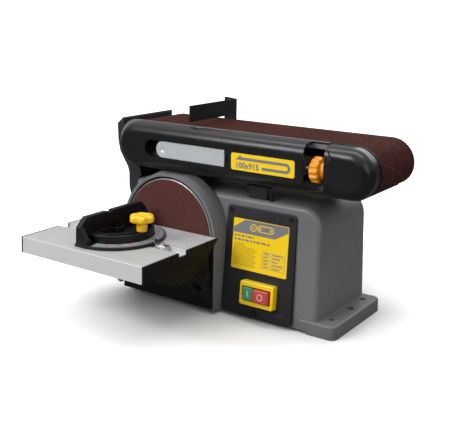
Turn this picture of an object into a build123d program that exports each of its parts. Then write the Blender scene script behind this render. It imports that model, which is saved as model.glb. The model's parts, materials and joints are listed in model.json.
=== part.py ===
# Combined belt and disc sander: a stationary bench machine with a tilting belt
# arm above a cast body, a disc in an arched housing at the front, a tilting work
# table with a mitre gauge, and a switch panel. Millimetres, +X along the belt
# towards the idler end (right), -Y towards the operator (front), +Z up, Z = 0 on
# the bench. An axis or screw place is the pair of coordinates it crosses.
from build123d import *
import math
import os

# ---------------------------------------------------------------- dimensions
SIDES = (-1, 1)
WALL = 4.0

# belt and its drums
BELT_T = 1.1
BELT_R = 32.0                           # outer radius of the belt round each drum
BELT_FRONT, BELT_BACK = -49.2, 52.4
BELT_Z = 216.7
DRUM_R = 30.35
DRIVE_AXIS = (-82.2, BELT_Z)
IDLER_AXIS = (276.3, BELT_Z)
DRUM_SHAFT_R = 6.0

# motor and disc share one axis
MOTOR_AXIS = (0, 102.65)
MOTOR_SHAFT_R = 7.5
DISC_R, PAPER_R = 75.0, 73.4
RIM_Y = -88.0                           # front of the housing and of the abrasive
DISC_FRONT = -87.0
RUN_FIT, PRESS_FIT = 0.02, 0.01         # radial clearances on the shafts
BEARING_FIT = 0.05

# body: its front wall leans back from the foot to the top
BODY_LEFT, BODY_RIGHT = -86.0, 230.8
BODY_BACK, BODY_BASE, BODY_TOP = 69.7, 3.5, 163.0
FRONT_LOW, FRONT_HIGH = -70.0, -59.0
LEG_IN, LEG_OUT = 80.0, 83.7
FOOT_RIGHT, FOOT_TOP = 257.5, 18.0
BOLT_XS, BOLT_Y, BOLT_R = (-71.0, 241.0), 46.0, 4.25
ORIGIN_X = sum(BOLT_XS) / 2             # the parts' origin: centre of the bench bolts

# table
TABLE_LEFT, TABLE_RIGHT = -128.5, 89.0
TABLE_FRONT, TABLE_BACK = -241.8, -89.6
TABLE_BASE, TABLE_TOP = 86.7, 108.6
END_T = 3                               # end plate thickness
SLOT_Y, SLOT_W, SLOT_DEPTH = -165.0, 17.4, 5.7      # mitre slot
RIB_YS = (-201.0, -133.0)
END_SCREWS = ((-185, 101.6), (-110, 102.2))         # y, z
QUADRANT_SCREW_X = 66.0
TILT_AXIS = (-84.0, 101.0)                          # y, z
LOCK_AXIS = (-100.0, 50.0)                          # y, z of the tilt lock stud
RIGHT_SCREW = (-109.5, 66.8)                        # y, z in the right quadrant

# mitre gauge
MITRE = (-25.0, SLOT_Y)                 # head pivot
CLAMP_R = 44                            # radius of the clamp slot round the pivot
CLAMP = (MITRE[0] + CLAMP_R, MITRE[1])
POINTER_SCREW = (52, SLOT_Y + 3)

# belt arm cover
COVER_LEFT, COVER_RIGHT, COVER_Z = -73.8, 274.7, 217.0
COVER_BACK, COVER_FRONT = -52.6, -78.0
LEVER_PIN = (82.0, -70.0)               # x, y
TRACK_AXIS = (-57.0, 214.3)             # y, z of the tracking screw
CARRIAGE_PIN = (218, 0)                 # x, y
STOP_AXIS = (-4, 216)                   # x, z of the work stop screw

# screws
GUARD_SCREWS = ((-60, 16), (60, 16))                # x, z
PANEL_SCREWS = ((93.0, 143.0), (187.0, 143.0), (140.0, 11.0))   # x, z
REST_SCREW, TOP_SCREW = (122, -49), (151.5, -54.5)  # x, y
BRACKET_SCREWS = ((-78.5, 50.5), (-56, 50.5))       # x, y
CORD_AXIS = (150, 35)                               # x, z


# ------------------------------------------------------------------- helpers
def box(x_from, x_to, y_from, y_to, z_from, z_to):
    middle = Pos((x_from + x_to) / 2, (y_from + y_to) / 2, (z_from + z_to) / 2)
    return middle * Box(abs(x_to - x_from), abs(y_to - y_from), abs(z_to - z_from))


def cyl_x(axis, radius, x_from, x_to):
    turned = Pos((x_from + x_to) / 2, *axis) * Rot(0, 90, 0)
    return turned * Cylinder(radius, abs(x_to - x_from))


def cyl_y(axis, radius, y_from, y_to):
    turned = Pos(axis[0], (y_from + y_to) / 2, axis[1]) * Rot(90, 0, 0)
    return turned * Cylinder(radius, abs(y_to - y_from))


def cyl_z(axis, radius, z_from, z_to):
    return Pos(*axis, (z_from + z_to) / 2) * Cylinder(radius, abs(z_to - z_from))


def tube_y(axis, outer, inner, y_from, y_to):
    return cyl_y(axis, outer, y_from, y_to) - cyl_y(axis, inner, y_from - 1, y_to + 1)


def outline_face(points):
    return make_face(Polyline(*points, close=True))


def prism_xz(points, y_from, y_to):
    face = outline_face([(x, y_from, z) for x, z in points])
    return extrude(face, amount=y_to - y_from, dir=(0, 1, 0))


def prism_yz(points, x_from, x_to):
    face = outline_face([(x_from, y, z) for y, z in points])
    return extrude(face, amount=x_to - x_from, dir=(1, 0, 0))


def prism_xy(points, z_from, z_to):
    face = outline_face([(x, y, z_from) for x, y in points])
    return extrude(face, amount=z_to - z_from, dir=(0, 0, 1))


def polar(centre, radius, degrees):
    angle = math.radians(degrees)
    return (centre[0] + radius * math.cos(angle), centre[1] + radius * math.sin(angle))


def arc(centre, radius, start, end, steps):
    return [polar(centre, radius, start + (end - start) * i / steps) for i in range(steps + 1)]


def sector(centre, outer, inner, start, end, steps):
    """Outline of a curved band between two radii."""
    return arc(centre, outer, start, end, steps) + arc(centre, inner, end, start, steps)


def joined(shapes):
    total, *others = shapes
    for shape in others:
        total += shape
    return total


def round_edges(solid, edges, radius):
    # guards against a radius the kernel refuses: smaller ones are tried,
    # and the edges stay sharp if none works
    for share in (1.0, 0.8, 0.6, 0.4):
        try:
            result = fillet(edges, radius * share)
            if result.volume > 0 and result.is_valid:
                return result
        except Exception:
            pass
    return solid


def round_where(solid, radius, test, axis=None):
    """Round the edges whose centre passes the test."""
    edges = solid.edges() if axis is None else solid.edges().filter_by(axis)
    return round_edges(solid, [edge for edge in edges if test(edge.center())], radius)


def rounded_box(x_from, x_to, y_from, y_to, z_from, z_to, axis, radius):
    solid = box(x_from, x_to, y_from, y_to, z_from, z_to)
    return round_edges(solid, solid.edges().filter_by(axis), radius)


def stadium(x_from, x_to, z, radius, y_from, y_to):
    """Stadium along X with its end centres at x_from and x_to."""
    ends = cyl_y((x_from, z), radius, y_from, y_to) + cyl_y((x_to, z), radius, y_from, y_to)
    return ends + box(x_from, x_to, y_from, y_to, z - radius, z + radius)


def hull(axis_a, radius_a, axis_b, radius_b, y_from, y_to):
    """Solid wrapped round two circles in XZ."""
    run, rise = axis_b[0] - axis_a[0], axis_b[1] - axis_a[1]
    slope = math.degrees(math.atan2(rise, run))
    swing = math.degrees(math.acos((radius_a - radius_b) / math.hypot(run, rise)))
    corners = [polar(axis_a, radius_a, slope + swing), polar(axis_b, radius_b, slope + swing),
               polar(axis_b, radius_b, slope - swing), polar(axis_a, radius_a, slope - swing)]
    solid = prism_xz(corners, y_from, y_to)
    return solid + cyl_y(axis_a, radius_a, y_from, y_to) + cyl_y(axis_b, radius_b, y_from, y_to)


def around_motor(radius, degrees, solid, y=0):
    """Place a solid at an angle round the motor axis, its X pointing outwards."""
    return Pos(0, 0, MOTOR_AXIS[1]) * Rot(0, -degrees, 0) * Pos(radius, y, 0) * solid


def screw(seat, outward, head_r, head_h, shank_r, shank_len):
    """Cross-slotted pan head screw; the seat is under the head."""
    frame = Plane(origin=seat, z_dir=outward)
    solid = frame * Pos(0, 0, head_h / 2) * Cylinder(head_r, head_h)
    solid += frame * Pos(0, 0, -shank_len / 2) * Cylinder(shank_r, shank_len)
    solid -= frame * Pos(0, 0, head_h) * Box(head_r * 1.1, 0.7, 1.2)
    solid -= frame * Pos(0, 0, head_h) * Box(0.7, head_r * 1.1, 1.2)
    return solid


def bearing(axis, bore_r, outer_r, y_from, y_to):
    solid = tube_y(axis, outer_r, bore_r, y_from, y_to)
    middle = (bore_r + outer_r) / 2
    # annular groove in each face
    solid -= tube_y(axis, middle + 2.2, middle - 2.2, y_from - 1, y_from + 0.8)
    solid -= tube_y(axis, middle + 2.2, middle - 2.2, y_to - 0.8, y_to + 1)
    return solid


# --------------------------------------------------------------- base casting
HOUSING_STATIONS = ((RIM_Y, 82.2), (-80.0, 83.0), (-62.0, 85.5), (-44.0, 63.0))    # y, radius


def arch_face(radius, z_bottom, y):
    """Upright face with a half-round top centred on the motor axis."""
    z = MOTOR_AXIS[1]
    return make_face([
        Line((radius, y, z_bottom), (radius, y, z)),
        ThreePointArc((radius, y, z), (0, y, z + radius), (-radius, y, z)),
        Line((-radius, y, z), (-radius, y, z_bottom)),
        Line((-radius, y, z_bottom), (radius, y, z_bottom)),
    ])


def body_block():
    side = [(FRONT_LOW, BODY_BASE), (FRONT_HIGH, BODY_TOP), (BODY_BACK, BODY_TOP),
            (BODY_BACK, BODY_BASE)]
    block = prism_yz(side, BODY_LEFT, BODY_RIGHT)
    block = round_where(block, 29, lambda c: c.X > 200 and c.Z > 150, Axis.Y)
    block = round_where(block, 7, lambda c: c.X < 0 and c.Z > 150, Axis.Y)
    # front and back perimeter edges
    block = round_where(block, 8, lambda c: c.Y < -57 and c.Z > 5)
    return round_where(block, 6, lambda c: c.Y > BODY_BACK - 1 and c.Z > 5)


# Disc housing: widens back from the rim, then narrows into the body
def disc_housing():
    arch = joined(
        loft([arch_face(radius_a, BODY_BASE, y_a), arch_face(radius_b, BODY_BASE, y_b)],
             ruled=True)
        for (y_a, radius_a), (y_b, radius_b) in zip(HOUSING_STATIONS, HOUSING_STATIONS[1:]))
    arch = arch & box(-100, 100, -89, -40, BODY_BASE, 182.9)
    # the left leg is shorter than the right one
    arch -= box(-90, -60, -89, -71, 0, 14)
    return arch


# Foot flange at the right end
def right_foot():
    foot = box(205, FOOT_RIGHT, FRONT_LOW, 68, 0, FOOT_TOP)
    foot = round_where(foot, 9, lambda c: c.X > 240, Axis.Z)
    foot = round_where(foot, 2.5, lambda c: c.Z > FOOT_TOP - 0.1 and c.X > 210)
    foot -= box(200, 217, -80, 80, -1, BODY_BASE)
    return foot


def body_hollow():
    side = [(FRONT_LOW + WALL + 0.3, -1), (FRONT_HIGH + WALL, BODY_TOP - WALL),
            (BODY_BACK - WALL, BODY_TOP - WALL), (BODY_BACK - WALL, -1)]
    hollow = prism_yz(side, BODY_LEFT + WALL, BODY_RIGHT - WALL)
    hollow = round_where(hollow, 25, lambda c: c.X > 200 and c.Z > 100, Axis.Y)
    hollow -= box(-86, 86, -90, -57.6, -2, 190)
    hollow += box(-55, 55, -57.6, -40, 45, 155)
    return hollow


def base_casting():
    casting = body_block() + disc_housing()
    casting = casting + right_foot()
    casting -= body_hollow()
    # disc cavity with pockets for the table quadrants beside the disc
    cavity = extrude(arch_face(77.9, -1, -90.0), amount=28, dir=(0, 1, 0))
    cavity += box(-LEG_IN, LEG_IN, -90, -62, -1, 55)
    casting -= cavity
    casting -= box(75, LEG_IN, -90, -62, 50, 109)
    casting -= box(-LEG_IN, -75, -90, -62, 38, 109)
    # relief in the right leg for the head of the quadrant screw as the table tilts
    casting -= box(79.5, LEG_IN + 0.6, -90, -62, 44, 76)
    # slot behind the left leg for the tail of the left quadrant
    casting -= box(-LEG_IN, -75, -63, -50, 38.5, 84)
    # hidden pads under the left end
    for side in SIDES:
        casting += box(BODY_LEFT, -56, side * 32, side * 60, 0, 9)
    # lug on the left leg that carries the tilt lock stud
    lug = prism_yz([(-87.5, 38), (-87.5, 60), (-99, 58.0), (-107.5, 53.5), (-108, 45),
                    (-103, 41), (-93, 38)], -LEG_OUT, -79.6)
    casting += lug + box(-LEG_OUT, -80.2, -90, -86, 38, 60)
    # motor shaft openings, foot hole, bench bolt holes
    casting -= cyl_y(MOTOR_AXIS, 13, -70, -50)
    casting -= cyl_y(MOTOR_AXIS, 13, 60, 75)
    casting -= cyl_z((242.6, 3.7), 5.5, -1, 20)
    for x in BOLT_XS:
        for side in SIDES:
            casting -= cyl_z((x, side * BOLT_Y), BOLT_R, -1, 20)
    # tilt pins and lock stud
    for side in SIDES:
        casting -= cyl_x(TILT_AXIS, 2.5, side * 70, side * 82.3)
    casting -= cyl_x(LOCK_AXIS, 3.0, -90, -70)
    # switch opening, cord hole, screw holes
    casting -= box(123, 169.2, -75, -55, 21, 52.5)
    casting -= cyl_y(CORD_AXIS, 6.0, 60, 75)
    for place in (*BRACKET_SCREWS, REST_SCREW):
        casting -= cyl_z(place, 2.15, 150, 170)
    for place in PANEL_SCREWS:
        casting -= cyl_y(place, 2.1, -80, -50)
    casting -= cyl_z(TOP_SCREW, 1.65, 150, 170)
    return casting


# Sheet under the body, with two rows of vent slots
def bottom_plate():
    pitch, width = 14, 6
    plate = box(-54, 225, -57.4, 64, 4.0, 5.5)
    for i in range(6):
        x = 70 + i * pitch
        for side in SIDES:
            plate -= rounded_box(x, x + width, side * 14, side * 46, 0, 9, Axis.Z, 2.9)
    return plate


# --------------------------------------------------------------------- motor
def motor_housing():
    shell_r, hollow_r = 46, 42.5
    hollow = cyl_y(MOTOR_AXIS, hollow_r, -52, 51)
    shell = cyl_y(MOTOR_AXIS, shell_r, -57.4, 56) - hollow
    # bearing seats, then the shaft opening
    shell -= cyl_y(MOTOR_AXIS, 17.5, -54.5, -50) + cyl_y(MOTOR_AXIS, 17.5, 49, 53.5)
    shell -= cyl_y(MOTOR_AXIS, 10, -60, 60)
    for i in range(18):
        shell += around_motor(shell_r, i * 20, Box(7.0, 74, 1.8))
    shell -= hollow
    return shell


# Slotted core with a winding ring at each end
def motor_stator():
    core = tube_y(MOTOR_AXIS, 42.4, 25.4, -26, 26)
    for i in range(12):
        core -= around_motor(31, i * 30, Box(9, 60, 5))
    windings = []
    for y_from, y_to in ((-35.5, -26.1), (26.1, 35.5)):
        ring = tube_y(MOTOR_AXIS, 37, 27.5, y_from, y_to)
        windings.append(round_edges(ring, ring.edges().filter_by(GeomType.CIRCLE), 3))
    return core + joined(windings)


def motor_shaft():
    return cyl_y(MOTOR_AXIS, MOTOR_SHAFT_R, -80, 92)


def motor_rotor():
    rotor = tube_y(MOTOR_AXIS, 25.0, MOTOR_SHAFT_R + RUN_FIT, -26, 26)
    for y_from, y_to in ((-31, -26), (26, 31)):
        rotor += tube_y(MOTOR_AXIS, 22, 15, y_from, y_to)
    return rotor


# Hub, back disc and eight blades cut away at the front near the hub
def motor_fan():
    hub = tube_y(MOTOR_AXIS, 12, MOTOR_SHAFT_R + RUN_FIT, 33, 42.5)
    fan = hub + tube_y(MOTOR_AXIS, 38, 8, 40.5, 42.5)
    for i in range(8):
        fan += around_motor(24, i * 45, Box(26, 6.5, 1.6), y=39.25)
    fan -= cyl_y(MOTOR_AXIS, 27.4, 20, 38)
    fan += hub
    return fan


# ------------------------------------------------------------- abrasive disc
# Plate with a recessed back, six spokes and a hub
def disc_plate():
    hub_r = 20
    plate = cyl_y(MOTOR_AXIS, DISC_R, DISC_FRONT, -80.0)
    plate = round_edges(plate, plate.edges().filter_by(GeomType.CIRCLE), 0.7)
    plate -= tube_y(MOTOR_AXIS, 66, hub_r, -84, -79)
    for i in range(6):
        plate += around_motor(43, i * 60 + 45, Box(50, 4.0, 4), y=-82.2)
    plate += cyl_y(MOTOR_AXIS, hub_r, -84, -66)
    plate -= cyl_y(MOTOR_AXIS, MOTOR_SHAFT_R + RUN_FIT, -81, -60)
    return plate


def sanding_disc():
    return cyl_y(MOTOR_AXIS, PAPER_R, RIM_Y, DISC_FRONT - 0.05)


# Guard below the table, in front of the lower half of the disc
def disc_guard():
    half = 79.5
    guard = box(-half, half, -90.5, -88.6, 7.5, 84)
    guard -= box(74.6, 90, -95, -80, 36.0, 90) + box(-90, -74.6, -95, -80, 34, 90)
    guard -= box(-90, -60, -95, -80, 0, 7.6)
    # bottom and side flanges
    guard += box(-half, half, -88.7, -74, 7.5, 9.2)
    guard += box(78.0, half, -88.7, -74, 7.5, 35.5) + box(-half, -78.0, -88.7, -74, 14.2, 33)
    guard -= rounded_box(48.8, 63.5, -95, -80, 30.5, 36.7, Axis.Y, 1.6)
    for place in GUARD_SCREWS:
        guard -= cyl_y(place, 1.85, -92, -85)
    return guard


# --------------------------------------------------------------------- table
# y, z of the table section; the back edge slopes down and forwards
TABLE_PROFILE = [
    (TABLE_FRONT, TABLE_BASE), (TABLE_FRONT, TABLE_TOP), (TABLE_BACK, TABLE_TOP),
    (TABLE_BACK - 0.5, TABLE_TOP - 1.4), (-102.6, 97.6), (-115, TABLE_BASE)]


def mitre_slot(x_from, x_to):
    return box(x_from, x_to, SLOT_Y - SLOT_W / 2, SLOT_Y + SLOT_W / 2,
               TABLE_TOP - SLOT_DEPTH, TABLE_TOP + 5)


def table_top():
    left, right = TABLE_LEFT + END_T, TABLE_RIGHT - END_T
    apron_in, ceiling = TABLE_FRONT + 3.6, TABLE_TOP - 4.5
    hollow = prism_yz([(apron_in, TABLE_BASE - 1), (apron_in, ceiling), (-97.0, ceiling),
                       (-106.5, 96.6), (-118.6, TABLE_BASE - 1)], TABLE_LEFT, TABLE_RIGHT)
    table = prism_yz(TABLE_PROFILE, left, right) - hollow
    table += box(left, right, SLOT_Y - 12.5, SLOT_Y + 12.5, 99.6, 104.3)
    # ribs with a foot flange
    for y in RIB_YS:
        table += box(left, right, y - 1.6, y + 1.6, TABLE_BASE, 104.3)
        table += box(left, right, y - 6, y + 6, TABLE_BASE, TABLE_BASE + 2.6)
    table += joined(cyl_x(place, 3.6, left, right) for place in END_SCREWS)
    table -= mitre_slot(TABLE_LEFT, TABLE_RIGHT)
    for place in END_SCREWS:
        table -= (cyl_x(place, 1.6, TABLE_LEFT, TABLE_LEFT + 18)
                  + cyl_x(place, 1.6, TABLE_RIGHT - 18, TABLE_RIGHT))
    table = round_where(
        table, 0.8,
        lambda c: abs(c.Y - TABLE_FRONT) < 0.2 and abs(c.Z - TABLE_TOP) < 0.2, Axis.X)
    for side in SIDES:
        for y in RIB_YS:
            table -= cyl_z((side * QUADRANT_SCREW_X, y), 1.6, 80, TABLE_BASE + 2.6)
    return table


def end_plate(x_from, x_to):
    plate = prism_yz(TABLE_PROFILE, x_from, x_to)
    plate -= mitre_slot(x_from - 1, x_to + 1)
    for place in END_SCREWS:
        plate -= cyl_x(place, 1.7, x_from - 1, x_to + 1)
    return plate


def table_end_plates():
    return (end_plate(TABLE_RIGHT - END_T, TABLE_RIGHT)
            + end_plate(TABLE_LEFT, TABLE_LEFT + END_T))


def table_screws():
    ends = joined(screw((x, *place), (outward, 0, 0), 2.9, 1.0, 1.55, 12)
                  for place in END_SCREWS
                  for x, outward in ((TABLE_RIGHT, 1), (TABLE_LEFT, -1)))
    ends += screw((QUADRANT_OUT, *RIGHT_SCREW), (1, 0, 0), 3.8, 1.4, 2.55, 3.0)
    return ends + joined(
        screw((side * QUADRANT_SCREW_X, y, FLANGE_Z), (0, 0, -1), 3.0, 1.4, 1.55, 5.2)
        for side in SIDES for y in RIB_YS)


# ------------------------------------------------------------ tilt quadrants
QUADRANT_IN, QUADRANT_OUT = 75.8, 78.8          # distance of the faces from X = 0
FLANGE_Z = 83.8                                 # underside of the flange
LOCK_REACH = math.dist(TILT_AXIS, LOCK_AXIS)
# direction of the stud from the tilt axis, and the ends of its slot
LOCK_ANGLE = math.degrees(math.atan2(LOCK_AXIS[1] - TILT_AXIS[1],
                                     LOCK_AXIS[0] - TILT_AXIS[0])) % 360
LOCK_SLOT = (LOCK_ANGLE - 46.5, LOCK_ANGLE + 1.5)
# outline points (y, z), in order round the plate
LOWER_EDGE = [(-206, 86.6), (-205, 80), (-198, 75.5), (-187, 70), (-176, 65.8), (-166, 62.8),
              (-156, 60.9)]
RIGHT_EDGE = [(-146, 60.0), (-137, 60.5), (-129, 62.3), (-122, 65.2), (-118, 65.8),
              (-114.5, 62.2), (-110.5, 60.6), (-104.8, 60.6), (-103.2, 62.2)]
NECK = [(-103.0, 84.0), (-96.0, 91.5)]
EAR = arc(TILT_AXIS, 6.2, -130, 140, 14)
UPPER_EDGE = [(-94.0, 103.2), (-102.4, 96.6), (-114.8, 86.3), (-115.5, 86.6)]


# Plate with a flange along its top; side is 1 for right, -1 for left
def quadrant(side, edge):
    outline = LOWER_EDGE + edge + NECK + EAR + UPPER_EDGE
    plate = prism_yz(outline, *sorted((side * QUADRANT_IN, side * QUADRANT_OUT)))
    plate += box(side * 58, side * QUADRANT_OUT, -206, -118.5, FLANGE_Z, 86.6)
    plate -= cyl_x(TILT_AXIS, 2.55, side * 70, side * 85)
    for y in RIB_YS:
        plate -= cyl_z((side * QUADRANT_SCREW_X, y), 1.7, 80, 90)
    return plate


def tilt_quadrant_right():
    return quadrant(1, RIGHT_EDGE) - cyl_x(RIGHT_SCREW, 2.6, 70, 85)


def tilt_quadrant_left():
    # band round the tilt axis that carries the curved lock slot
    band_half, slot_half = 8.3, 3.3
    end = LOCK_SLOT[1]
    band = arc(TILT_AXIS, LOCK_REACH + band_half, 222, end, 14)
    band += arc(polar(TILT_AXIS, LOCK_REACH, end), band_half, end, end + 180, 8)[1:]
    slot = prism_yz(sector(TILT_AXIS, LOCK_REACH + slot_half, LOCK_REACH - slot_half,
                           *LOCK_SLOT, 20), -90, -70)
    for angle in LOCK_SLOT:
        slot += cyl_x(polar(TILT_AXIS, LOCK_REACH, angle), slot_half, -90, -70)
    return quadrant(-1, [(-148, 60.0)] + band) - slot


# Two pivot pins, and the fixed stud that runs through the curved slot
def tilt_pins():
    pins = cyl_x(TILT_AXIS, 2.48, 75.4, 82.2) + cyl_x(TILT_AXIS, 2.48, -82.2, -75.4)
    stud = cyl_x(LOCK_AXIS, 2.95, -96.5, -72.0) + cyl_x(LOCK_AXIS, 5.6, -75.4, -72.0)
    return pins + stud


# Clamping lever outside the left leg
def tilt_lock_lever():
    tip = (-82.0, 14.0)                         # y, z of the ball end
    length = math.dist(LOCK_AXIS, tip)
    frame = Plane(origin=(-93.5, *LOCK_AXIS), x_dir=(1, 0, 0),
                  z_dir=(0, tip[0] - LOCK_AXIS[0], tip[1] - LOCK_AXIS[1]))
    lever = cyl_x(LOCK_AXIS, 7.5, -99.0, -84.2)
    lever += frame * Pos(0, 0, length / 2) * Cylinder(3.6, length)
    lever += frame * Pos(0, 0, length) * Sphere(5.6)
    lever += frame * Pos(0, 0, length - 9) * Cylinder(5.0, 16)
    lever -= cyl_x(LOCK_AXIS, 3.0, -97.0, -80)
    return lever


# --------------------------------------------------------------- mitre gauge
def mitre_bar():
    half = 8.45
    bar = box(-76.0, 60.5, SLOT_Y - half, SLOT_Y + half, 103.05, 108.4)
    bar -= (cyl_z(MITRE, 3.0, 100, 112) + cyl_z(CLAMP, 3.0, 100, 112)
            + cyl_z(POINTER_SCREW, 1.6, 100, 112))
    return bar


def half_round(flat_x, half, radius, angle, steps, z_from, z_to):
    """Prism: an arc about the mitre pivot closed by a flat on its left."""
    x, y = MITRE
    outline = [(x + flat_x, y - half)] + arc(MITRE, radius, -angle, angle, steps)
    return prism_xy(outline + [(x + flat_x, y + half)], z_from, z_to)


def mitre_fence():
    front, back = -231, -100
    fence = prism_yz([(front, 108.9), (front, 134.0), (-219, 146.2), (-112, 146.2),
                      (back, 134.0), (back, 108.9)], -36, -28)
    fence += (box(-36, -17, front, front + 9, 108.9, 119)
              + box(-36, -17, back - 9, back, 108.9, 119))
    web = [(-28.1, 112), (-28.1, 134), (-17, 119), (-17, 112)]
    fence += prism_xz(web, front, front + 6)
    fence += prism_xz(web, back - 6, back)
    return fence


def mitre_head():
    head = half_round(-13, 66, 66.0, 92, 48, 108.9, 112.8)
    head = round_where(head, 0.8, lambda c: c.Z > 112.5 and c.X > MITRE[0])
    hub = half_round(-13, 50, 50.0, 88, 40, 112.0, 123.5)
    hub = round_where(hub, 1.2, lambda c: c.Z > 123.0)
    pocket = half_round(-2, 36, 37.0, 74, 30, 116.5, 130)
    pocket -= cyl_z(MITRE, 10, 100, 140)
    hub -= pocket
    head += hub
    head += mitre_fence()
    head -= box(-40, -27.9, -180, -170, 144.2, 150)
    head -= cyl_z(MITRE, 7.0, 123.5, 131)
    # curved slot for the clamp stud, then the pivot hole
    half = 3.3
    head -= prism_xy(sector(MITRE, CLAMP_R + half, CLAMP_R - half, -60, 60, 30), 100, 140)
    for angle in (-60, 60):
        head -= cyl_z(polar(MITRE, CLAMP_R, angle), half, 100, 140)
    head -= cyl_z(MITRE, 3.05, 100, 140)
    return head


def mitre_scale():
    return prism_xy(sector(MITRE, 64.6, 51.2, -78, 78, 50), 112.85, 113.25)


# Slotted pivot screw and the pointer's screw
def mitre_screws():
    pivot = cyl_z(MITRE, 2.98, 103.2, 123.6) + cyl_z(MITRE, 6.5, 123.55, 126.5)
    pivot -= Pos(*MITRE, 126.5) * Box(10, 1.2, 1.6)
    return pivot + screw((*POINTER_SCREW, 109.7), (0, 0, 1), 3.9, 2.6, 1.55, 5.8)


# Six-lobed clamp knob with its stud
def mitre_knob():
    base, top = 136.0, 146.0
    knob = cyl_z(CLAMP, 2.95, 103.2, 124) + cyl_z(CLAMP, 7.2, 123.7, 137.5)
    lobes = cyl_z(CLAMP, 13.2, base, top)
    for i in range(6):
        lobes += cyl_z(polar(CLAMP, 11.6, i * 60 + 12), 5.4, base, top)
    lobes = round_where(lobes, 2.2, lambda c: c.Z > top - 0.1)
    lobes = round_where(lobes, 1.4, lambda c: c.Z < base + 0.1)
    knob += lobes
    return knob


def mitre_pointer():
    y = POINTER_SCREW[1]
    pointer = box(44, 60, y - 5, y + 5, 108.45, 109.7) - cyl_z(POINTER_SCREW, 1.7, 100, 115)
    pointer += prism_xz([(44.0, 108.45), (45.2, 108.45), (42.6, 116.2), (41.4, 116.2)],
                        y - 4.5, y + 4.5)
    pointer += prism_xy([(36.5, SLOT_Y), (42.4, SLOT_Y - 1.5), (42.4, SLOT_Y + 7.5),
                         (36.5, SLOT_Y + 3.6)], 115.0, 116.2)
    return pointer


# --------------------------------------------------------------- switch panel
PANEL_LEFT, PANEL_RIGHT, PANEL_BASE, PANEL_TOP = 85.8, 196.0, 5.0, 150.6
PANEL_LOW_Y, PANEL_HIGH_Y = -76.0, -61.6        # front face at its base and top
LEAN = math.atan2(PANEL_HIGH_Y - PANEL_LOW_Y, PANEL_TOP - PANEL_BASE)
PANEL_FACE = Plane(origin=(0, PANEL_LOW_Y, PANEL_BASE), x_dir=(1, 0, 0),
                   z_dir=(0, -math.cos(LEAN), math.sin(LEAN)))


def front_wall_y(z):
    return FRONT_LOW + (FRONT_HIGH - FRONT_LOW) * (z - BODY_BASE) / (BODY_TOP - BODY_BASE)


def on_panel(x, z, lift):
    """Frame on the panel face at x, z, lifted outwards."""
    return PANEL_FACE * Pos(x, (z - PANEL_BASE) / math.cos(LEAN), lift)


def panel_box(x_from, x_to, z_from, z_to, lift_from, lift_to, radius):
    block = Box(x_to - x_from, (z_to - z_from) / math.cos(LEAN), lift_to - lift_from)
    block = fillet(block.edges().filter_by(Axis.Z), radius)
    middle = on_panel((x_from + x_to) / 2, (z_from + z_to) / 2, (lift_from + lift_to) / 2)
    return middle * block


def round_above(solid, radius, lift):
    """Round the edges that stand higher than lift off the panel face."""
    return round_where(solid, radius, lambda c: PANEL_FACE.to_local_coords(c).Z > lift)


def switch_panel():
    panel = prism_yz([(PANEL_LOW_Y, PANEL_BASE), (PANEL_HIGH_Y, PANEL_TOP),
                      (front_wall_y(PANEL_TOP) - 0.05, PANEL_TOP),
                      (front_wall_y(PANEL_BASE) - 0.05, PANEL_BASE)], PANEL_LEFT, PANEL_RIGHT)
    panel = round_where(
        panel, 6,
        lambda c: (abs(c.X - PANEL_LEFT) < 0.1 or abs(c.X - PANEL_RIGHT) < 0.1)
        and (c.Z > PANEL_TOP - 0.2 or c.Z < PANEL_BASE + 0.2))
    panel = round_above(panel, 1.2, -0.05)
    # shallow face recess, then the switch opening
    panel -= panel_box(92.5, 188.5, 17, 137, -0.8, 2, 5)
    panel -= panel_box(122.0, 170.0, 24.6, 52.2, -40, 2, 2)
    for x, z in PANEL_SCREWS:
        panel -= on_panel(x, z, -0.6) * Cylinder(3.9, 1.21)
        panel -= on_panel(x, z, -20) * Cylinder(1.7, 40)
    return panel


def panel_screw(x, z):
    solid = on_panel(x, z, -0.35) * Cylinder(3.4, 1.6) + on_panel(x, z, -2.0) * Cylinder(1.6, 2.2)
    cross = on_panel(x, z, 0.45)
    solid -= cross * Box(4.4, 0.8, 1.2) + cross * Box(0.8, 4.4, 1.2)
    return solid


def rating_plate():
    return panel_box(97, 185, 66, 134, -0.75, -0.35, 2.0)


def switch_frame():
    frame = panel_box(119.6, 172.6, 22.6, 54.2, -0.75, 9.0, 3.0)
    frame = round_above(frame, 1.6, 8.9)
    frame -= panel_box(123.6, 168.6, 28.6, 48.2, -5, 20, 1.5)
    return frame


# Body with a pocket for each button
def switch_body():
    body = panel_box(123.9, 168.3, 28.9, 47.9, -26, 1.5, 1.2)
    body -= (panel_box(125.3, 141.1, 29.7, 47.1, -7, 5, 1.0)
             + panel_box(142.5, 166.9, 29.7, 47.1, -7, 5, 1.0))
    return body


# Button with a bar-shaped mark
def start_button():
    button = panel_box(125.6, 140.8, 30.0, 46.8, -3.2, 10.2, 1.2)
    button = round_above(button, 1.0, 10.1)
    button -= on_panel(133.2, 38.4, 10.2) * Box(1.6, 8, 0.8)
    return button


# Taller button with a ring-shaped mark
def stop_button():
    button = panel_box(142.8, 166.6, 30.0, 46.8, -3.2, 13.6, 1.6)
    button = round_above(button, 1.4, 13.5)
    button -= on_panel(154.7, 38.4, 13.6) * (Cylinder(4.6, 0.8) - Cylinder(3.2, 0.8))
    return button


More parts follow.
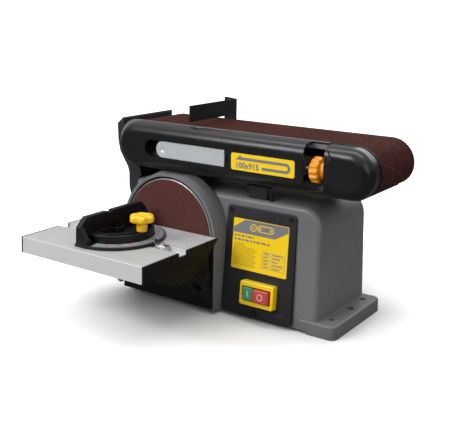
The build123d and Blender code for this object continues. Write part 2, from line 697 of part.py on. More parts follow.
# Bushing in the back wall, grooved behind its collar
def cord_bushing():
    bushing = (cyl_y(CORD_AXIS, 5.9, 63, 69.8) + cyl_y(CORD_AXIS, 8.2, 69.8, 72.6)
               + cyl_y(CORD_AXIS, 5.6, 72.6, 90))
    bushing += cyl_y(CORD_AXIS, 8.0, 63.0, 65.6)
    for i in range(3):
        bushing -= tube_y(CORD_AXIS, 7.0, 4.7, 76 + i * 4.4, 78 + i * 4.4)
    bushing -= cyl_y(CORD_AXIS, 3.55, 60, 95)
    return bushing


def power_cord():
    x, z = CORD_AXIS
    start, bend = (x, 30, z), (x, 96, z)
    path = Line(start, bend) + ThreePointArc(bend, (x, 109, 29.6), (x, 114.4, 16.6))
    return sweep(Plane(origin=start, z_dir=(0, 1, 0)) * Circle(3.5), path=path)


# ------------------------------------------------- arm rest, body screws
def rest_bracket():
    left, right = 115.8, 145.5
    bracket = box(left, right, -56.5, -53.6, 163.1, 180.6)
    bracket += box(111.8, 147.7, -57.6, -38, 178.2, 180.6)
    bracket += box(left, right, -56.5, -45, 163.1, 165.6)
    bracket += prism_yz([(-53.7, 165.5), (-53.7, 178.3), (-41, 178.3)], 129.4, 131.8)
    bracket -= cyl_z(REST_SCREW, 2.3, 160, 170)
    return bracket


# screws into the top of the body: place, head (radius, z, z), shank (radius, z, z)
TOP_SCREWS = [
    (REST_SCREW, (3.8, 165.65, 168.6), (2.1, 157, 165.7)),
    (TOP_SCREW, (3.2, 163.1, 170.2), (1.6, 157.0, 171.4)),
] + [(place, (4.2, 168.05, 171.2), (2.1, 157, 168.1)) for place in BRACKET_SCREWS]


def body_screws():
    screws = joined(screw((x, -90.5, z), (0, -1, 0), 3.6, 2.0, 1.8, 1.9)
                    for x, z in GUARD_SCREWS)
    screws += joined(panel_screw(x, z) for x, z in PANEL_SCREWS)
    for place, head, shank in TOP_SCREWS:
        screws += cyl_z(place, *head) + cyl_z(place, *shank)
    return screws


# ----------------------------------------------------------- drive drum hood
# x, z of the sheet's outer and inner lines, from the top down
HOOD_OUTER = [
    (-119.2, 250.6), (-130.6, 240.8), (-128.9, 214.7), (-125.2, 199.6), (-116.9, 186.7),
    (-109.7, 176.8), (-106.6, 168.0), (-106.1, 146.5), (-101.8, 131.6)]
HOOD_INNER = [
    (-117.6, 248.6), (-128.1, 239.6), (-126.4, 215.0), (-122.9, 200.4), (-114.8, 188.0),
    (-107.5, 177.8), (-104.1, 168.5), (-103.6, 146.8), (-99.6, 133.4)]


def drum_hood():
    front, back = -50.6, 66.0
    hood = prism_xz(HOOD_OUTER + HOOD_INNER[::-1], front, back)
    hood += box(-119.6, -118.0, front, back, 240.5, 250.6)      # upright lip at the top
    hood += prism_xz([(-101.8, 131.6), (-99.6, 133.9), (-86.2, 133.9), (-86.2, 131.6)],
                     front, back)
    # front cheek, hollowed round the drive drum
    cheek = HOOD_OUTER[1:] + [(-86.2, 131.6), (-86.2, 163.2), (-82.5, 166.4),
                              (-85.5, 177.6), (-92.2, 183.4)]
    cheek += arc(DRIVE_AXIS, 35.5, 248, 188, 5)
    cheek += [(-117.8, 216.7), (-117.8, 250.6), (-119.2, 250.6)]
    hood += prism_xz(cheek, front, -48.3)
    return hood


# ------------------------------------- drum bracket, bearings, pulleys, covers
def drum_bracket():
    front, back, seat = 58.4, 69.6, 163.1
    bracket = cyl_y(DRIVE_AXIS, 21.5, front, back)
    bracket += prism_xz([(-100, 214), (-86, seat), (-48, seat), (-62, 214)], front, back)
    bracket += box(-86, -48, 44, back, seat, 168)
    bracket += cyl_y(DRIVE_AXIS, 17.0, 53.2, 60)
    bracket -= cyl_y(DRIVE_AXIS, 13.05, 50, 72)
    for place in BRACKET_SCREWS:
        bracket -= cyl_z(place, 2.2, 160, 175)
    return bracket


def shaft_bearings():
    motor_bore, drum_bore = MOTOR_SHAFT_R + BEARING_FIT, DRUM_SHAFT_R + BEARING_FIT
    return (bearing(MOTOR_AXIS, motor_bore, 17.45, -54.4, -44.4)
            + bearing(MOTOR_AXIS, motor_bore, 17.45, 43.4, 53.4)
            + bearing(DRIVE_AXIS, drum_bore, 13.0, 53.6, 60.6)
            + bearing(DRIVE_AXIS, drum_bore, 13.0, 62.2, 69.4))


def drum_shaft():
    return cyl_y(DRIVE_AXIS, DRUM_SHAFT_R, -46, 92)


# Hollow drum with a hub and four holes through its end walls
def drive_drum():
    drum = cyl_y(DRIVE_AXIS, DRUM_R, -47.5, 50.5) - cyl_y(DRIVE_AXIS, DRUM_R - 5, -44, 47)
    drum += cyl_y(DRIVE_AXIS, 12, -47, 50)
    drum -= cyl_y(DRIVE_AXIS, DRUM_SHAFT_R + PRESS_FIT, -60, 60)
    for i in range(4):
        drum -= cyl_y(polar(DRIVE_AXIS, 18.8, i * 90), 4, -60, 60)
    return drum


# Pulley with two flanges and four grooves
def pulley(axis, radius, shaft_r):
    y_from, y_to, grooves = 75.5, 90.5, 4
    pitch = (y_to - y_from - 3.0) / grooves
    solid = cyl_y(axis, radius, y_from, y_to)
    solid += (cyl_y(axis, radius + 2, y_from, y_from + 1.3)
              + cyl_y(axis, radius + 2, y_to - 1.3, y_to))
    for i in range(grooves):
        y = y_from + 1.5 + pitch * (i + 0.5)
        solid -= tube_y(axis, radius + 5, radius - 1.0, y - pitch * 0.22, y + pitch * 0.22)
    solid -= cyl_y(axis, shaft_r + PRESS_FIT, y_from - 1, y_to + 1)
    return solid


def motor_pulley():
    return pulley(MOTOR_AXIS, 9.5, MOTOR_SHAFT_R)


def drum_pulley():
    return pulley(DRIVE_AXIS, 19, DRUM_SHAFT_R)


def transmission_belt():
    return (hull(DRIVE_AXIS, 21.0, MOTOR_AXIS, 11.5, 77.1, 88.9)
            - hull(DRIVE_AXIS, 19.25, MOTOR_AXIS, 9.75, 70, 95))


def drive_backplate():
    plate = hull(DRIVE_AXIS, 25.0, MOTOR_AXIS, 22, 70.1, 71.9)
    plate -= cyl_y(DRIVE_AXIS, 18.5, 60, 80) + cyl_y(MOTOR_AXIS, 11, 60, 80)
    return plate


# Cover over the pulleys, with five slots behind the motor
def drive_cover():
    back = 97.5
    cover = hull(DRIVE_AXIS, 25.0, MOTOR_AXIS, 22, 72.0, back)
    cover = round_where(cover, 4, lambda c: c.Y > back - 0.1)
    cover -= hull(DRIVE_AXIS, 22.6, MOTOR_AXIS, 19.6, 71.0, 95.1)
    z = MOTOR_AXIS[1]
    for i in range(5):
        cover -= rounded_box(-12 + i * 6, -9 + i * 6, 94, 99, z - 9, z + 9, Axis.Y, 1.4)
    return cover


# ------------------------------------------------------------------- belt arm
def sanding_belt():
    left, right = DRIVE_AXIS[0], IDLER_AXIS[0]
    return (stadium(left, right, BELT_Z, BELT_R, BELT_FRONT, BELT_BACK)
            - stadium(left, right, BELT_Z, BELT_R - BELT_T, BELT_FRONT - 1, BELT_BACK + 1))


# Box beam between the belt runs, extended under the platen
def arm_core():
    core = box(-38, 190, -46, 54.1, 190, 243.6) - box(-60, 200, -43, 51, 193, 240.6)
    core += box(180, 236, -46, 54, 240.8, 243.6)
    core += box(92, 96, -44, 52, 192, 241)
    core -= cyl_x((0, BELT_Z), 3.2, 80, 100)
    return core


def arm_frame():
    frame = box(-58, 280, -52.4, 57, 181.0, 183.0)              # tray under the lower run
    frame += box(-58, 280, 54, 57, 181.0, 196)                  # rear lip
    frame += box(240, 280, 56, 67.5, 181.0, 183.0)              # rear corner, right end
    # rear web
    front, back = 54.0, 57.4
    web = cyl_y(DRIVE_AXIS, 30, front, back) + box(DRIVE_AXIS[0], 60, front, back, 186, 246.5)
    web += prism_xz([(60, 181), (60, 246.5), (110, 196), (110, 181)], front, back)
    web += box(-58, 60, front, back, 181.0, 190)
    frame += web
    frame += cyl_y(STOP_AXIS, 8, 57.0, 65.9)                    # boss for the work stop
    frame -= cyl_y(STOP_AXIS, 3.15, 50, 75)
    frame -= cyl_y(DRIVE_AXIS, 17.06, 50, 60)
    frame += arm_core()
    # guides the carriage slides between
    for z in (203, 227):
        frame += box(140, 190, -43.5, -33.2, z, z + 3) + box(140, 190, 33.2, 51.5, z, z + 3)
    return frame


def platen():
    return rounded_box(-40, 236, -50, 52.2, 243.7, 247.2, Axis.Z, 2)


# Plate that closes the front of the arm behind the cover
def arm_face_plate():
    plate = stadium(-88.0, COVER_RIGHT + 0.2, COVER_Z, 33.9, -52.5, -51.3)
    plate -= cyl_y(DRIVE_AXIS, 9, -60, -50)
    plate -= rounded_box(189, 246, -60, -50, 196, 241, Axis.Y, 3)
    plate -= stadium(IDLER_AXIS[0] - 9, IDLER_AXIS[0] + 2, BELT_Z, 8, -60, -50)
    return plate


def front_cover():
    radius, front_round = 33.0, 15
    cap_front = COVER_FRONT - 2.2
    main = stadium(COVER_LEFT, COVER_RIGHT, COVER_Z, radius, COVER_FRONT, COVER_BACK)
    main = round_where(main, front_round, lambda c: c.Y < COVER_FRONT + 0.1)
    cap = (stadium(264, COVER_RIGHT, COVER_Z, radius, cap_front, COVER_BACK)
           + box(241.4, 264, cap_front, COVER_BACK, COVER_Z - radius, COVER_Z + radius))
    cap = round_where(cap, front_round, lambda c: c.Y < COVER_FRONT - 2.1)
    cover = main + cap
    hollow = stadium(COVER_LEFT, COVER_RIGHT, COVER_Z, 30.4, COVER_FRONT + 2.6, COVER_BACK + 1)
    hollow = round_where(hollow, 12.5, lambda c: c.Y < COVER_FRONT + 2.7)
    cover -= hollow
    # lever recess: walls and floor, then the pocket
    recess_front = COVER_FRONT + 1.0
    cover += (stadium(-40, 82, 216.0, 14.4, recess_front, -61.0)
              + box(80, 93.5, recess_front, -61.0, 201.6, 230.4))
    cover -= stadium(-39.6, 82, 215.9, 12.4, -90, -63.0) + box(78, 91.5, -90, -63.0, 203.5, 228.3)
    # window for the tracking knob, open over the top
    cover -= rounded_box(211.7, 241.4, -95, -52.7, 191, 262, Axis.Y, 7)
    # small scoop in the top edge
    cover -= Pos(27.0, -57.0, 259.5) * Sphere(12.0)
    cover -= cyl_z(LEVER_PIN, 2.02, 199, 233)
    return cover


def direction_label():
    return rounded_box(101, 199.6, COVER_FRONT - 0.45, COVER_FRONT - 0.05, 203.5, 226.5,
                       Axis.Y, 3)


# Flat lever with a knuckle at its right end and a finger hollow at its left
def tension_lever():
    x, y = LEVER_PIN
    front, back, base, top, knuckle_r = -76.6, -73.8, 204.2, 227.8, 4.2
    lever = rounded_box(-31.7, 88, front, back, base, top, Axis.Y, 11.5)
    lever += box(70, 88, front, back, base, top)
    lever += (cyl_z(LEVER_PIN, knuckle_r, base, top)
              + box(x - knuckle_r, x + knuckle_r, -74, y, base, top))
    lever = round_where(lever, 0.6, lambda c: c.Y < front + 0.1)
    lever -= Pos(-19.5, front - 8.0, 216) * Sphere(9.4)
    lever -= cyl_z(LEVER_PIN, 2.06, 200, 232)
    return lever


def tension_pin():
    return cyl_z(LEVER_PIN, 2.0, 201.8, 230.2)


def tension_carriage():
    carriage = box(146, 206, -33, 33, 206.2, 226.8)
    carriage -= cyl_x((0, BELT_Z), 9.0, 140, 188)
    carriage += box(200, 206, -66, 33, 206.2, 228.5)
    # fork arms above and below the yoke
    carriage += box(200, 232, -12, 12, 226.9, 233.0) + box(200, 206, -12, 12, 226, 233)
    carriage += box(200, 232, -12, 12, 200.4, 204.4) + box(200, 206, -12, 12, 200.4, 207)
    carriage -= cyl_x(TRACK_AXIS, 3.06, 190, 215)
    carriage += cyl_z(CARRIAGE_PIN, 4.0, 200.4, 233.0)
    return carriage


def tension_spring():
    coils, pitch, coil_r, wire_r = 7, 11.0, 6.2, 1.0
    helix = Helix(pitch=pitch, height=coils * pitch, radius=coil_r)
    helix = Plane(origin=(97.3, 0, BELT_Z), z_dir=(1, 0, 0)) * helix
    wire = Plane(origin=helix @ 0, z_dir=helix % 0) * Circle(wire_r)
    return sweep(wire, path=helix, is_frenet=True)


def idler_yoke():
    yoke = box(208, 243, -30, 53.6, 204.8, 226.5)
    yoke += box(236, 284, 50.8, 53.8, 207.5, 226.0)
    yoke -= box(200, 234, -31, 31, 190, 204.9)
    yoke -= cyl_z(CARRIAGE_PIN, 4.06, 190, 240)
    yoke -= cyl_y(IDLER_AXIS, DRUM_SHAFT_R + PRESS_FIT, 40, 60)
    # leave a narrow tongue round the carriage pin
    yoke -= box(205, 236, -31, -13.5, 200, 230) + box(205, 236, 13.5, 55, 200, 230)
    return yoke


def idler_shaft():
    return cyl_y(IDLER_AXIS, DRUM_SHAFT_R, -61.5, 53.8)


def idler_bearings():
    return joined(bearing(IDLER_AXIS, DRUM_SHAFT_R + BEARING_FIT, 14.0, y, y + 10)
                  for y in (-46.0, 39.0))


# Drum with an annular recess in each end
def idler_drum():
    drum = tube_y(IDLER_AXIS, DRUM_R, 14.02, -47.2, 50.2)
    drum -= tube_y(IDLER_AXIS, 26, 18, -48, -20)
    drum -= tube_y(IDLER_AXIS, 26, 18, 20, 52)
    return drum


# Scalloped rim, hub and screw
def tracking_knob():
    left, right = 216.5, 229.5
    knob = cyl_x(TRACK_AXIS, 15.7, left, right)
    for i in range(12):
        knob += cyl_x(polar(TRACK_AXIS, 14.6, i * 30), 2.8, left, right)
    knob = round_where(knob, 0.9, lambda c: abs(c.X - left) < 0.05 or abs(c.X - right) < 0.05)
    knob += cyl_x(TRACK_AXIS, 11.0, 229.4, 240.6)
    knob += cyl_x(TRACK_AXIS, 3.0, 193.5, 269.4)
    return knob


# Stop across the belt, held at the back of the arm
def work_stop():
    stop = box(7.2, 9.2, -50, 66.0, 254.7, 278.5)
    stop += box(-13, 9.2, 66.0, 68.0, 204, 276.5) + prism_xz(
        [(-13, 276.4), (-13, 279.2), (-11.5, 280.2), (9.2, 278.5), (9.2, 276.4)], 66.0, 68.0)
    stop -= cyl_y(STOP_AXIS, 3.2, 60, 75)
    return stop


def work_stop_screw():
    return cyl_y(STOP_AXIS, 6.5, 68.05, 72.5) + cyl_y(STOP_AXIS, 3.1, 56.0, 68.1)


# ----------------------------------------------------------------- write out
# each piece's file is named after its function
PIECES = (
    base_casting, bottom_plate, motor_housing, motor_stator, motor_shaft, motor_rotor,
    motor_fan, disc_plate, sanding_disc, disc_guard, table_top, table_end_plates,
    tilt_quadrant_right, tilt_quadrant_left, table_screws, tilt_pins, tilt_lock_lever,
    mitre_bar, mitre_head, mitre_scale, mitre_knob, mitre_pointer, mitre_screws,
    switch_panel, rating_plate, switch_frame, switch_body, start_button, stop_button,
    cord_bushing, power_cord, rest_bracket, drum_hood, drum_bracket, shaft_bearings,
    body_screws, drum_shaft, drive_drum, motor_pulley, drum_pulley, transmission_belt,
    drive_backplate, drive_cover, sanding_belt, arm_frame, platen, arm_face_plate,
    front_cover, direction_label, tension_lever, tension_pin, tension_carriage,
    tension_spring, idler_yoke, idler_shaft, idler_bearings, idler_drum, tracking_knob,
    work_stop, work_stop_screw,
)

os.makedirs("parts", exist_ok=True)
for piece in PIECES:
    export_step(Pos(-ORIGIN_X, 0, 0) * piece(), f"parts/{piece.__name__}.step")
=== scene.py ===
"""Looks for a bench belt and disc sander: materials, printed graphics, knobs, studio, camera.

Blender works in metres with Z up; sizes here are in millimetres unless they say otherwise.
The machine stands on z = 0. The disc turns about an axis along Y, and the leaning switch
panel faces -Y. The drawing's X is DRAWING_X greater than the X of the row frame, in which
the CAD pieces are loaded. Texture sizes, bevel radii and bump distances are in metres.
"""
import bpy
import bmesh
import json
import math
import random
from mathutils import Vector, Matrix

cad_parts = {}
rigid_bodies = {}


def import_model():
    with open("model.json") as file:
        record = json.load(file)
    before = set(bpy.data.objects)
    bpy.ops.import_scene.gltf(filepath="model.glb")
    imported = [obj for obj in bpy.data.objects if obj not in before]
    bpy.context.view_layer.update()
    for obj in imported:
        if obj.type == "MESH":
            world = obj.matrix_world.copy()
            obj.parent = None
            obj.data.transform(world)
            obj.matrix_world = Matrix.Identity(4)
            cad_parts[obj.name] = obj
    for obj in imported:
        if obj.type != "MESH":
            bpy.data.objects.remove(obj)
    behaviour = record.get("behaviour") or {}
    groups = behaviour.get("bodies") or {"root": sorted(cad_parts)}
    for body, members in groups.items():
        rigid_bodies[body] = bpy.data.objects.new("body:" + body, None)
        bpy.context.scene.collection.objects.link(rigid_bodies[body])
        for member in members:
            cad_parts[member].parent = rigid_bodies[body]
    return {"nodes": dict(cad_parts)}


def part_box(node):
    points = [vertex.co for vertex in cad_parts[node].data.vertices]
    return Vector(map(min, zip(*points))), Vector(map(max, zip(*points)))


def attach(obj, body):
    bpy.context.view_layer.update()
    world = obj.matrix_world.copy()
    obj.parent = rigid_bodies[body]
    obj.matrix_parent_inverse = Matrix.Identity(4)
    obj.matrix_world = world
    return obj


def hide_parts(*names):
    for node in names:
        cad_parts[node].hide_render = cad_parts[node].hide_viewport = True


for leftover in list(bpy.data.objects):
    bpy.data.objects.remove(leftover)
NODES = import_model()["nodes"]


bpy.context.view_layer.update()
DRAWING_X = 85.0


def row(x, y, z):
    """A point of the row frame, mm to metres."""
    return Vector((x / 1000.0, y / 1000.0, z / 1000.0))


def drawn(x, y, z):
    """A point of the drawing, mm to metres in the row frame."""
    return row(x - DRAWING_X, y, z)


def box_mm(node):
    """Low and high corners of a CAD piece, in row-frame mm."""
    low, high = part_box(node)
    return [c * 1000.0 for c in low], [c * 1000.0 for c in high]


def srgb(red, green=None, blue=None):
    """sRGB 0..255 to linear RGBA; a single value is a grey."""
    if green is None:
        green = blue = red
    linear = []
    for c in (red, green, blue):
        c /= 255.0
        linear.append(c / 12.92 if c <= 0.04045 else ((c + 0.055) / 1.055) ** 2.4)
    return (*linear, 1.0)


# ================================================================ node helpers
class Graph:
    """Short makers for nodes that world and materials share."""

    def __init__(self, tree):
        self.tree = tree

    def node(self, kind, **settings):
        node = self.tree.nodes.new(kind)
        for key, value in settings.items():
            setattr(node, key, value)
        return node

    def put(self, socket, value):
        """Links a socket to an input, or sets the input to a plain value."""
        if isinstance(value, bpy.types.NodeSocket):
            self.tree.links.new(value, socket)
        else:
            socket.default_value = value

    def math(self, operation, first, second=None):
        node = self.node("ShaderNodeMath", operation=operation)
        self.put(node.inputs[0], first)
        if second is not None:
            self.put(node.inputs[1], second)
        return node.outputs[0]

    def add(self, first, second):
        return self.math("ADD", first, second)

    def subtract(self, first, second):
        return self.math("SUBTRACT", first, second)

    def multiply(self, first, second):
        return self.math("MULTIPLY", first, second)

    def weighted(self, first, share, second, second_share):
        return self.add(self.multiply(first, share), self.multiply(second, second_share))

    def remap(self, value, source=(0.3, 0.7), target=(0.0, 1.0)):
        """Maps the source range to the target range, clamped."""
        node = self.node("ShaderNodeMapRange")
        self.put(node.inputs[0], value)
        for index, limit in enumerate((*source, *target), start=1):
            node.inputs[index].default_value = limit
        return node.outputs[0]

    def separate(self, vector):
        node = self.node("ShaderNodeSeparateXYZ")
        self.put(node.inputs[0], vector)
        return node.outputs


class Mat(Graph):
    """A Principled material. Textures lie in object coordinates, in metres."""

    def __init__(self, name):
        self.material = bpy.data.materials.new(name)
        self.material.use_nodes = True
        super().__init__(self.material.node_tree)
        self.tree.nodes.clear()
        output = self.node("ShaderNodeOutputMaterial")
        self.shader = self.node("ShaderNodeBsdfPrincipled")
        self.put(output.inputs["Surface"], self.shader.outputs["BSDF"])
        self.coords = self.node("ShaderNodeTexCoord").outputs["Object"]

    def set(self, **values):
        """Sets shader inputs, with _ for spaces in their names, and returns the material."""
        for key, value in values.items():
            self.put(self.shader.inputs[key.replace("_", " ")], value)
        return self.material

    def xyz(self):
        return self.separate(self.coords)

    def mix(self, factor, first, second):
        node = self.node("ShaderNodeMix", data_type="RGBA", blend_type="MIX")
        self.put(node.inputs["Factor"], factor)
        self.put(node.inputs[6], first)
        self.put(node.inputs[7], second)
        return node.outputs[2]

    def vary(self, pattern, first, second, source=(0.3, 0.7), most=1.0):
        """Goes from first towards second over the source range; most caps the share of second."""
        return self.mix(self.remap(pattern, source, (0.0, most)), first, second)

    def mapping(self, scale, rotation=(0, 0, 0)):
        node = self.node("ShaderNodeMapping")
        self.put(node.inputs["Vector"], self.coords)
        node.inputs["Scale"].default_value = scale
        node.inputs["Rotation"].default_value = rotation
        return node.outputs[0]

    def noise(self, scale, detail=2.0, rough=0.5, vector=None, distortion=0.0):
        node = self.node("ShaderNodeTexNoise")
        self.put(node.inputs["Vector"], self.coords if vector is None else vector)
        node.inputs["Scale"].default_value = scale
        node.inputs["Detail"].default_value = detail
        node.inputs["Roughness"].default_value = rough
        node.inputs["Distortion"].default_value = distortion
        return node.outputs[0]

    def voronoi(self, scale, feature="F1"):
        node = self.node("ShaderNodeTexVoronoi", feature=feature)
        self.put(node.inputs["Vector"], self.coords)
        node.inputs["Scale"].default_value = scale
        return node.outputs

    def ramp(self, factor, stops):
        node = self.node("ShaderNodeValToRGB")
        self.put(node.inputs[0], factor)
        elements = node.color_ramp.elements
        while len(elements) < len(stops):
            elements.new(0.5)
        for element, (position, colour) in zip(elements, stops):
            element.position = position
            element.color = colour
        return node.outputs[0]

    def bevel(self, radius):
        node = self.node("ShaderNodeBevel", samples=4)
        node.inputs["Radius"].default_value = radius
        return node.outputs[0]

    def edge(self, radius=0.0009):
        """0 on flats, towards 1 at outer and inner edges."""
        geometry = self.node("ShaderNodeNewGeometry")
        dot = self.node("ShaderNodeVectorMath", operation="DOT_PRODUCT")
        self.put(dot.inputs[0], self.bevel(radius))
        self.put(dot.inputs[1], geometry.outputs["Normal"])
        return self.remap(dot.outputs["Value"], source=(0.80, 0.995), target=(1.0, 0.0))

    def bump(self, height, strength, distance, soft=None):
        """A bump normal, over edges rounded to the radius soft if that is given."""
        node = self.node("ShaderNodeBump")
        node.inputs["Strength"].default_value = strength
        node.inputs["Distance"].default_value = distance
        self.put(node.inputs["Height"], height)
        if soft is not None:
            self.put(node.inputs["Normal"], self.bevel(soft))
        return node.outputs[0]


# =================================================================== materials
def plastic(name, dark, light, rough, bump, grain=1200, blotch=30, worn=None, wear=0.3,
            coat=0.0, soft=0.0005, spec=0.5):
    """Grained moulding: blotch scales the tone patches, worn is the colour of rubbed edges."""
    mat = Mat(name)
    colour = mat.vary(mat.noise(blotch, detail=3, rough=0.6), dark, light)
    if worn is not None:
        patches = mat.remap(mat.noise(160, detail=3, rough=0.7), (0.35, 0.7), (0, wear * 2))
        colour = mat.mix(mat.multiply(mat.edge(), patches), colour, worn)
    smears = mat.weighted(mat.noise(60, detail=4, rough=0.6), 0.7, mat.noise(900), 0.3)
    height = mat.add(mat.noise(grain, rough=0.6), mat.multiply(mat.noise(grain * 0.22), 0.6))
    mat.set(Base_Color=colour, Roughness=mat.remap(smears, target=rough),
            Normal=mat.bump(height, strength=bump, distance=0.0002, soft=soft),
            Specular_IOR_Level=spec)
    if coat:
        mat.set(Coat_Weight=coat, Coat_Roughness=0.18)
    return mat.material


def metal(name, dark, light, rough, grain=1500, stretch=None, bump=0.08, metallic=1.0):
    """Even grain of the scale grain, or drawn lines where stretch gives their X, Y, Z scale."""
    mat = Mat(name)
    if stretch:
        fine = mat.noise(1.0, detail=3, rough=0.7, vector=mat.mapping(stretch))
    else:
        fine = mat.noise(grain, detail=3, rough=0.6)
    tone = mat.weighted(fine, 0.5, mat.noise(30, detail=3), 0.5)
    smears = mat.weighted(fine, 0.6, mat.noise(45, detail=4, rough=0.7), 0.4)
    return mat.set(Base_Color=mat.vary(tone, dark, light), Metallic=metallic,
                   Roughness=mat.remap(smears, target=rough),
                   Normal=mat.bump(fine, strength=bump, distance=0.00015, soft=0.0004))


def body_paint():
    """Textured grey enamel: fine pimples, slow change of tone, lighter on edges, and painted
    shade darkening the lowest 30 mm towards the floor.
    """
    mat = Mat("body_paint")
    slow = mat.noise(9, detail=3, rough=0.6)
    colour = mat.vary(slow, srgb(101, 102, 103), srgb(112, 113, 114))
    speck = mat.remap(mat.noise(1300, detail=3, rough=0.75), (0.42, 0.62))
    colour = mat.mix(mat.multiply(speck, 0.34), colour, srgb(130, 131, 132))
    pits = mat.remap(mat.noise(760, rough=0.6, distortion=0.4), (0.32, 0.46), (1, 0))
    colour = mat.mix(mat.multiply(pits, 0.30), colour, srgb(70, 70, 72))
    patches = mat.remap(mat.noise(120, detail=4, rough=0.7), (0.4, 0.7), (0.0, 0.55))
    colour = mat.mix(mat.multiply(mat.edge(0.0012), patches), colour, srgb(148, 149, 150))
    # painted shade: the casting is darkened up to a quarter over its lowest 30 mm, towards the
    # floor
    floor_shade = mat.remap(mat.xyz()[2], source=(0.0, 0.03), target=(0.25, 0.0))
    colour = mat.mix(floor_shade, colour, srgb(66, 65, 63))
    smears = mat.weighted(mat.noise(40, detail=4, rough=0.6), 0.6, speck, 0.25)
    pimples = mat.voronoi(620, feature="SMOOTH_F1")["Distance"]
    height = mat.add(pimples, mat.multiply(mat.noise(1900, rough=0.6), 0.6))
    return mat.set(Base_Color=colour, Roughness=mat.remap(smears, (0.2, 0.6), (0.40, 0.56)),
                   Normal=mat.bump(height, strength=0.22, distance=0.00028, soft=0.0009),
                   Coat_Weight=0.12, Coat_Roughness=0.35)


def table_alloy():
    """Cast alloy table: upward faces ground along X and scuffed, and painted darker as shade;
    other faces painted paler as light.
    """
    mat = Mat("table_alloy")
    normal = mat.node("ShaderNodeNewGeometry").outputs["Normal"]
    upward = mat.remap(mat.separate(normal)[2], (0.6, 0.95))
    lines = mat.noise(1.0, detail=3, rough=0.75, vector=mat.mapping((22, 1500, 22)))
    slanted = mat.mapping((90, 16, 20), rotation=(0, 0, 0.5))
    scuff = mat.noise(1.0, detail=5, rough=0.75, vector=slanted)
    # painted shade: upward faces get a darker grey than the other faces; the grinding lines and
    # scuffs on them are real
    top = mat.vary(lines, srgb(176, 177, 177), srgb(196, 197, 197), (0.35, 0.68))
    top = mat.vary(scuff, top, srgb(150), (0.56, 0.72), most=0.35)
    # painted light: faces that are not upward get a paler grey
    side = mat.vary(mat.noise(700, detail=3, rough=0.7), srgb(204, 205, 205),
                    srgb(216, 217, 217), (0.35, 0.65))
    colour = mat.mix(upward, side, top)
    # painted highlight: all edges of the table are lightened towards near white
    colour = mat.mix(mat.multiply(mat.edge(0.0007), 0.55), colour, srgb(240, 241, 241))
    smears = mat.multiply(mat.noise(35, detail=4, rough=0.7), 0.10)
    height = mat.weighted(lines, mat.multiply(upward, 0.8),
                          mat.noise(1100, detail=3, rough=0.7), 0.35)
    return mat.set(Base_Color=colour, Metallic=0.22,
                   Roughness=mat.add(mat.remap(lines, target=(0.34, 0.48)), smears),
                   Normal=mat.bump(height, strength=0.10, distance=0.0002, soft=0.0007))


def abrasive(name, tint, tint_share, streak=(1, 1, 1), seam=False):
    """Brown oxide grit: packed grains, dark binder between them, and a few glossier grains
    lightened with a painted glint.
    """
    mat = Mat(name)
    grains = mat.voronoi(2300)
    cell = mat.node("ShaderNodeSeparateColor")
    mat.put(cell.inputs[0], grains["Color"])
    tone = cell.outputs[0]
    colour = mat.ramp(tone, [(0.0, srgb(46, 15, 12)), (0.45, srgb(72, 26, 22)),
                             (0.8, srgb(94, 41, 35)), (1.0, srgb(120, 72, 64))])
    colour = mat.vary(grains["Distance"], colour, srgb(24, 10, 9), (0.35, 0.75), most=0.55)
    clump = mat.noise(240, detail=4, rough=0.7)
    colour = mat.vary(clump, colour, srgb(84, 38, 33), (0.45, 0.70), most=0.20)
    slow = mat.noise(14, detail=4, rough=0.65, vector=mat.mapping(streak))
    colour = mat.vary(slow, colour, srgb(44, 20, 18), (0.42, 0.68), most=0.25)
    colour = mat.mix(tint_share, colour, tint)
    # painted glint: a few grains are lightened towards pale pink; the same grains also get a
    # lower roughness
    glint_grains = mat.remap(cell.outputs[1], (0.955, 0.985))
    colour = mat.mix(mat.multiply(glint_grains, 0.8), colour, srgb(160, 118, 106))
    height = mat.subtract(mat.multiply(tone, 0.7), mat.multiply(grains["Distance"], 1.1))
    height = mat.add(height, mat.multiply(clump, 0.6))
    if seam:
        # a slanting line where z + slope * y = level, only on the far +X face
        slope, level = 0.44, 0.2119
        x, y, z = mat.xyz()
        offset = mat.subtract(mat.add(z, mat.multiply(y, slope)), level)
        near = mat.remap(mat.math("ABSOLUTE", offset), (0.0001, 0.0006), (1, 0))
        line = mat.multiply(near, mat.remap(x, (0.193, 0.196)))
        colour = mat.mix(mat.multiply(line, 0.38), colour, srgb(140, 100, 90))
        height = mat.subtract(height, mat.multiply(line, 0.6))
    return mat.set(Base_Color=colour, Roughness=mat.remap(glint_grains, (0, 1), (0.82, 0.38)),
                   Normal=mat.bump(height, strength=0.55, distance=0.00022),
                   Specular_IOR_Level=0.06, Sheen_Weight=0.0, Sheen_Roughness=0.6,
                   Sheen_Tint=srgb(210, 160, 150))


def printed(name, dark, light, rough=(0.32, 0.44)):
    """Ink or film."""
    mat = Mat(name)
    return mat.set(Base_Color=mat.vary(mat.noise(500, detail=3, rough=0.7), dark, light),
                   Roughness=mat.remap(mat.noise(90, detail=3), target=rough),
                   Normal=mat.bump(mat.noise(1600), strength=0.05, distance=0.0001))


def turned_disc():
    """Machined face with fine concentric tool marks round the disc's axis."""
    axis_x, axis_z = -DRAWING_X / 1000.0, 0.10265
    mat = Mat("turned_disc")
    coords = mat.xyz()
    across = mat.subtract(coords[0], axis_x)
    above = mat.subtract(coords[2], axis_z)
    squares = mat.add(mat.multiply(across, across), mat.multiply(above, above))
    noise = mat.node("ShaderNodeTexNoise", noise_dimensions="1D")
    mat.put(noise.inputs["W"], mat.math("SQRT", squares))
    noise.inputs["Scale"].default_value = 3800
    noise.inputs["Detail"].default_value = 3
    rings = noise.outputs[0]
    smears = mat.multiply(mat.noise(60, detail=3), 0.06)
    return mat.set(Base_Color=mat.vary(rings, (0.70, 0.71, 0.73, 1), (0.84, 0.85, 0.86, 1)),
                   Roughness=mat.add(mat.remap(rings, target=(0.22, 0.36)), smears),
                   Metallic=1.0,
                   Normal=mat.bump(rings, strength=0.12, distance=0.00012, soft=0.0004))


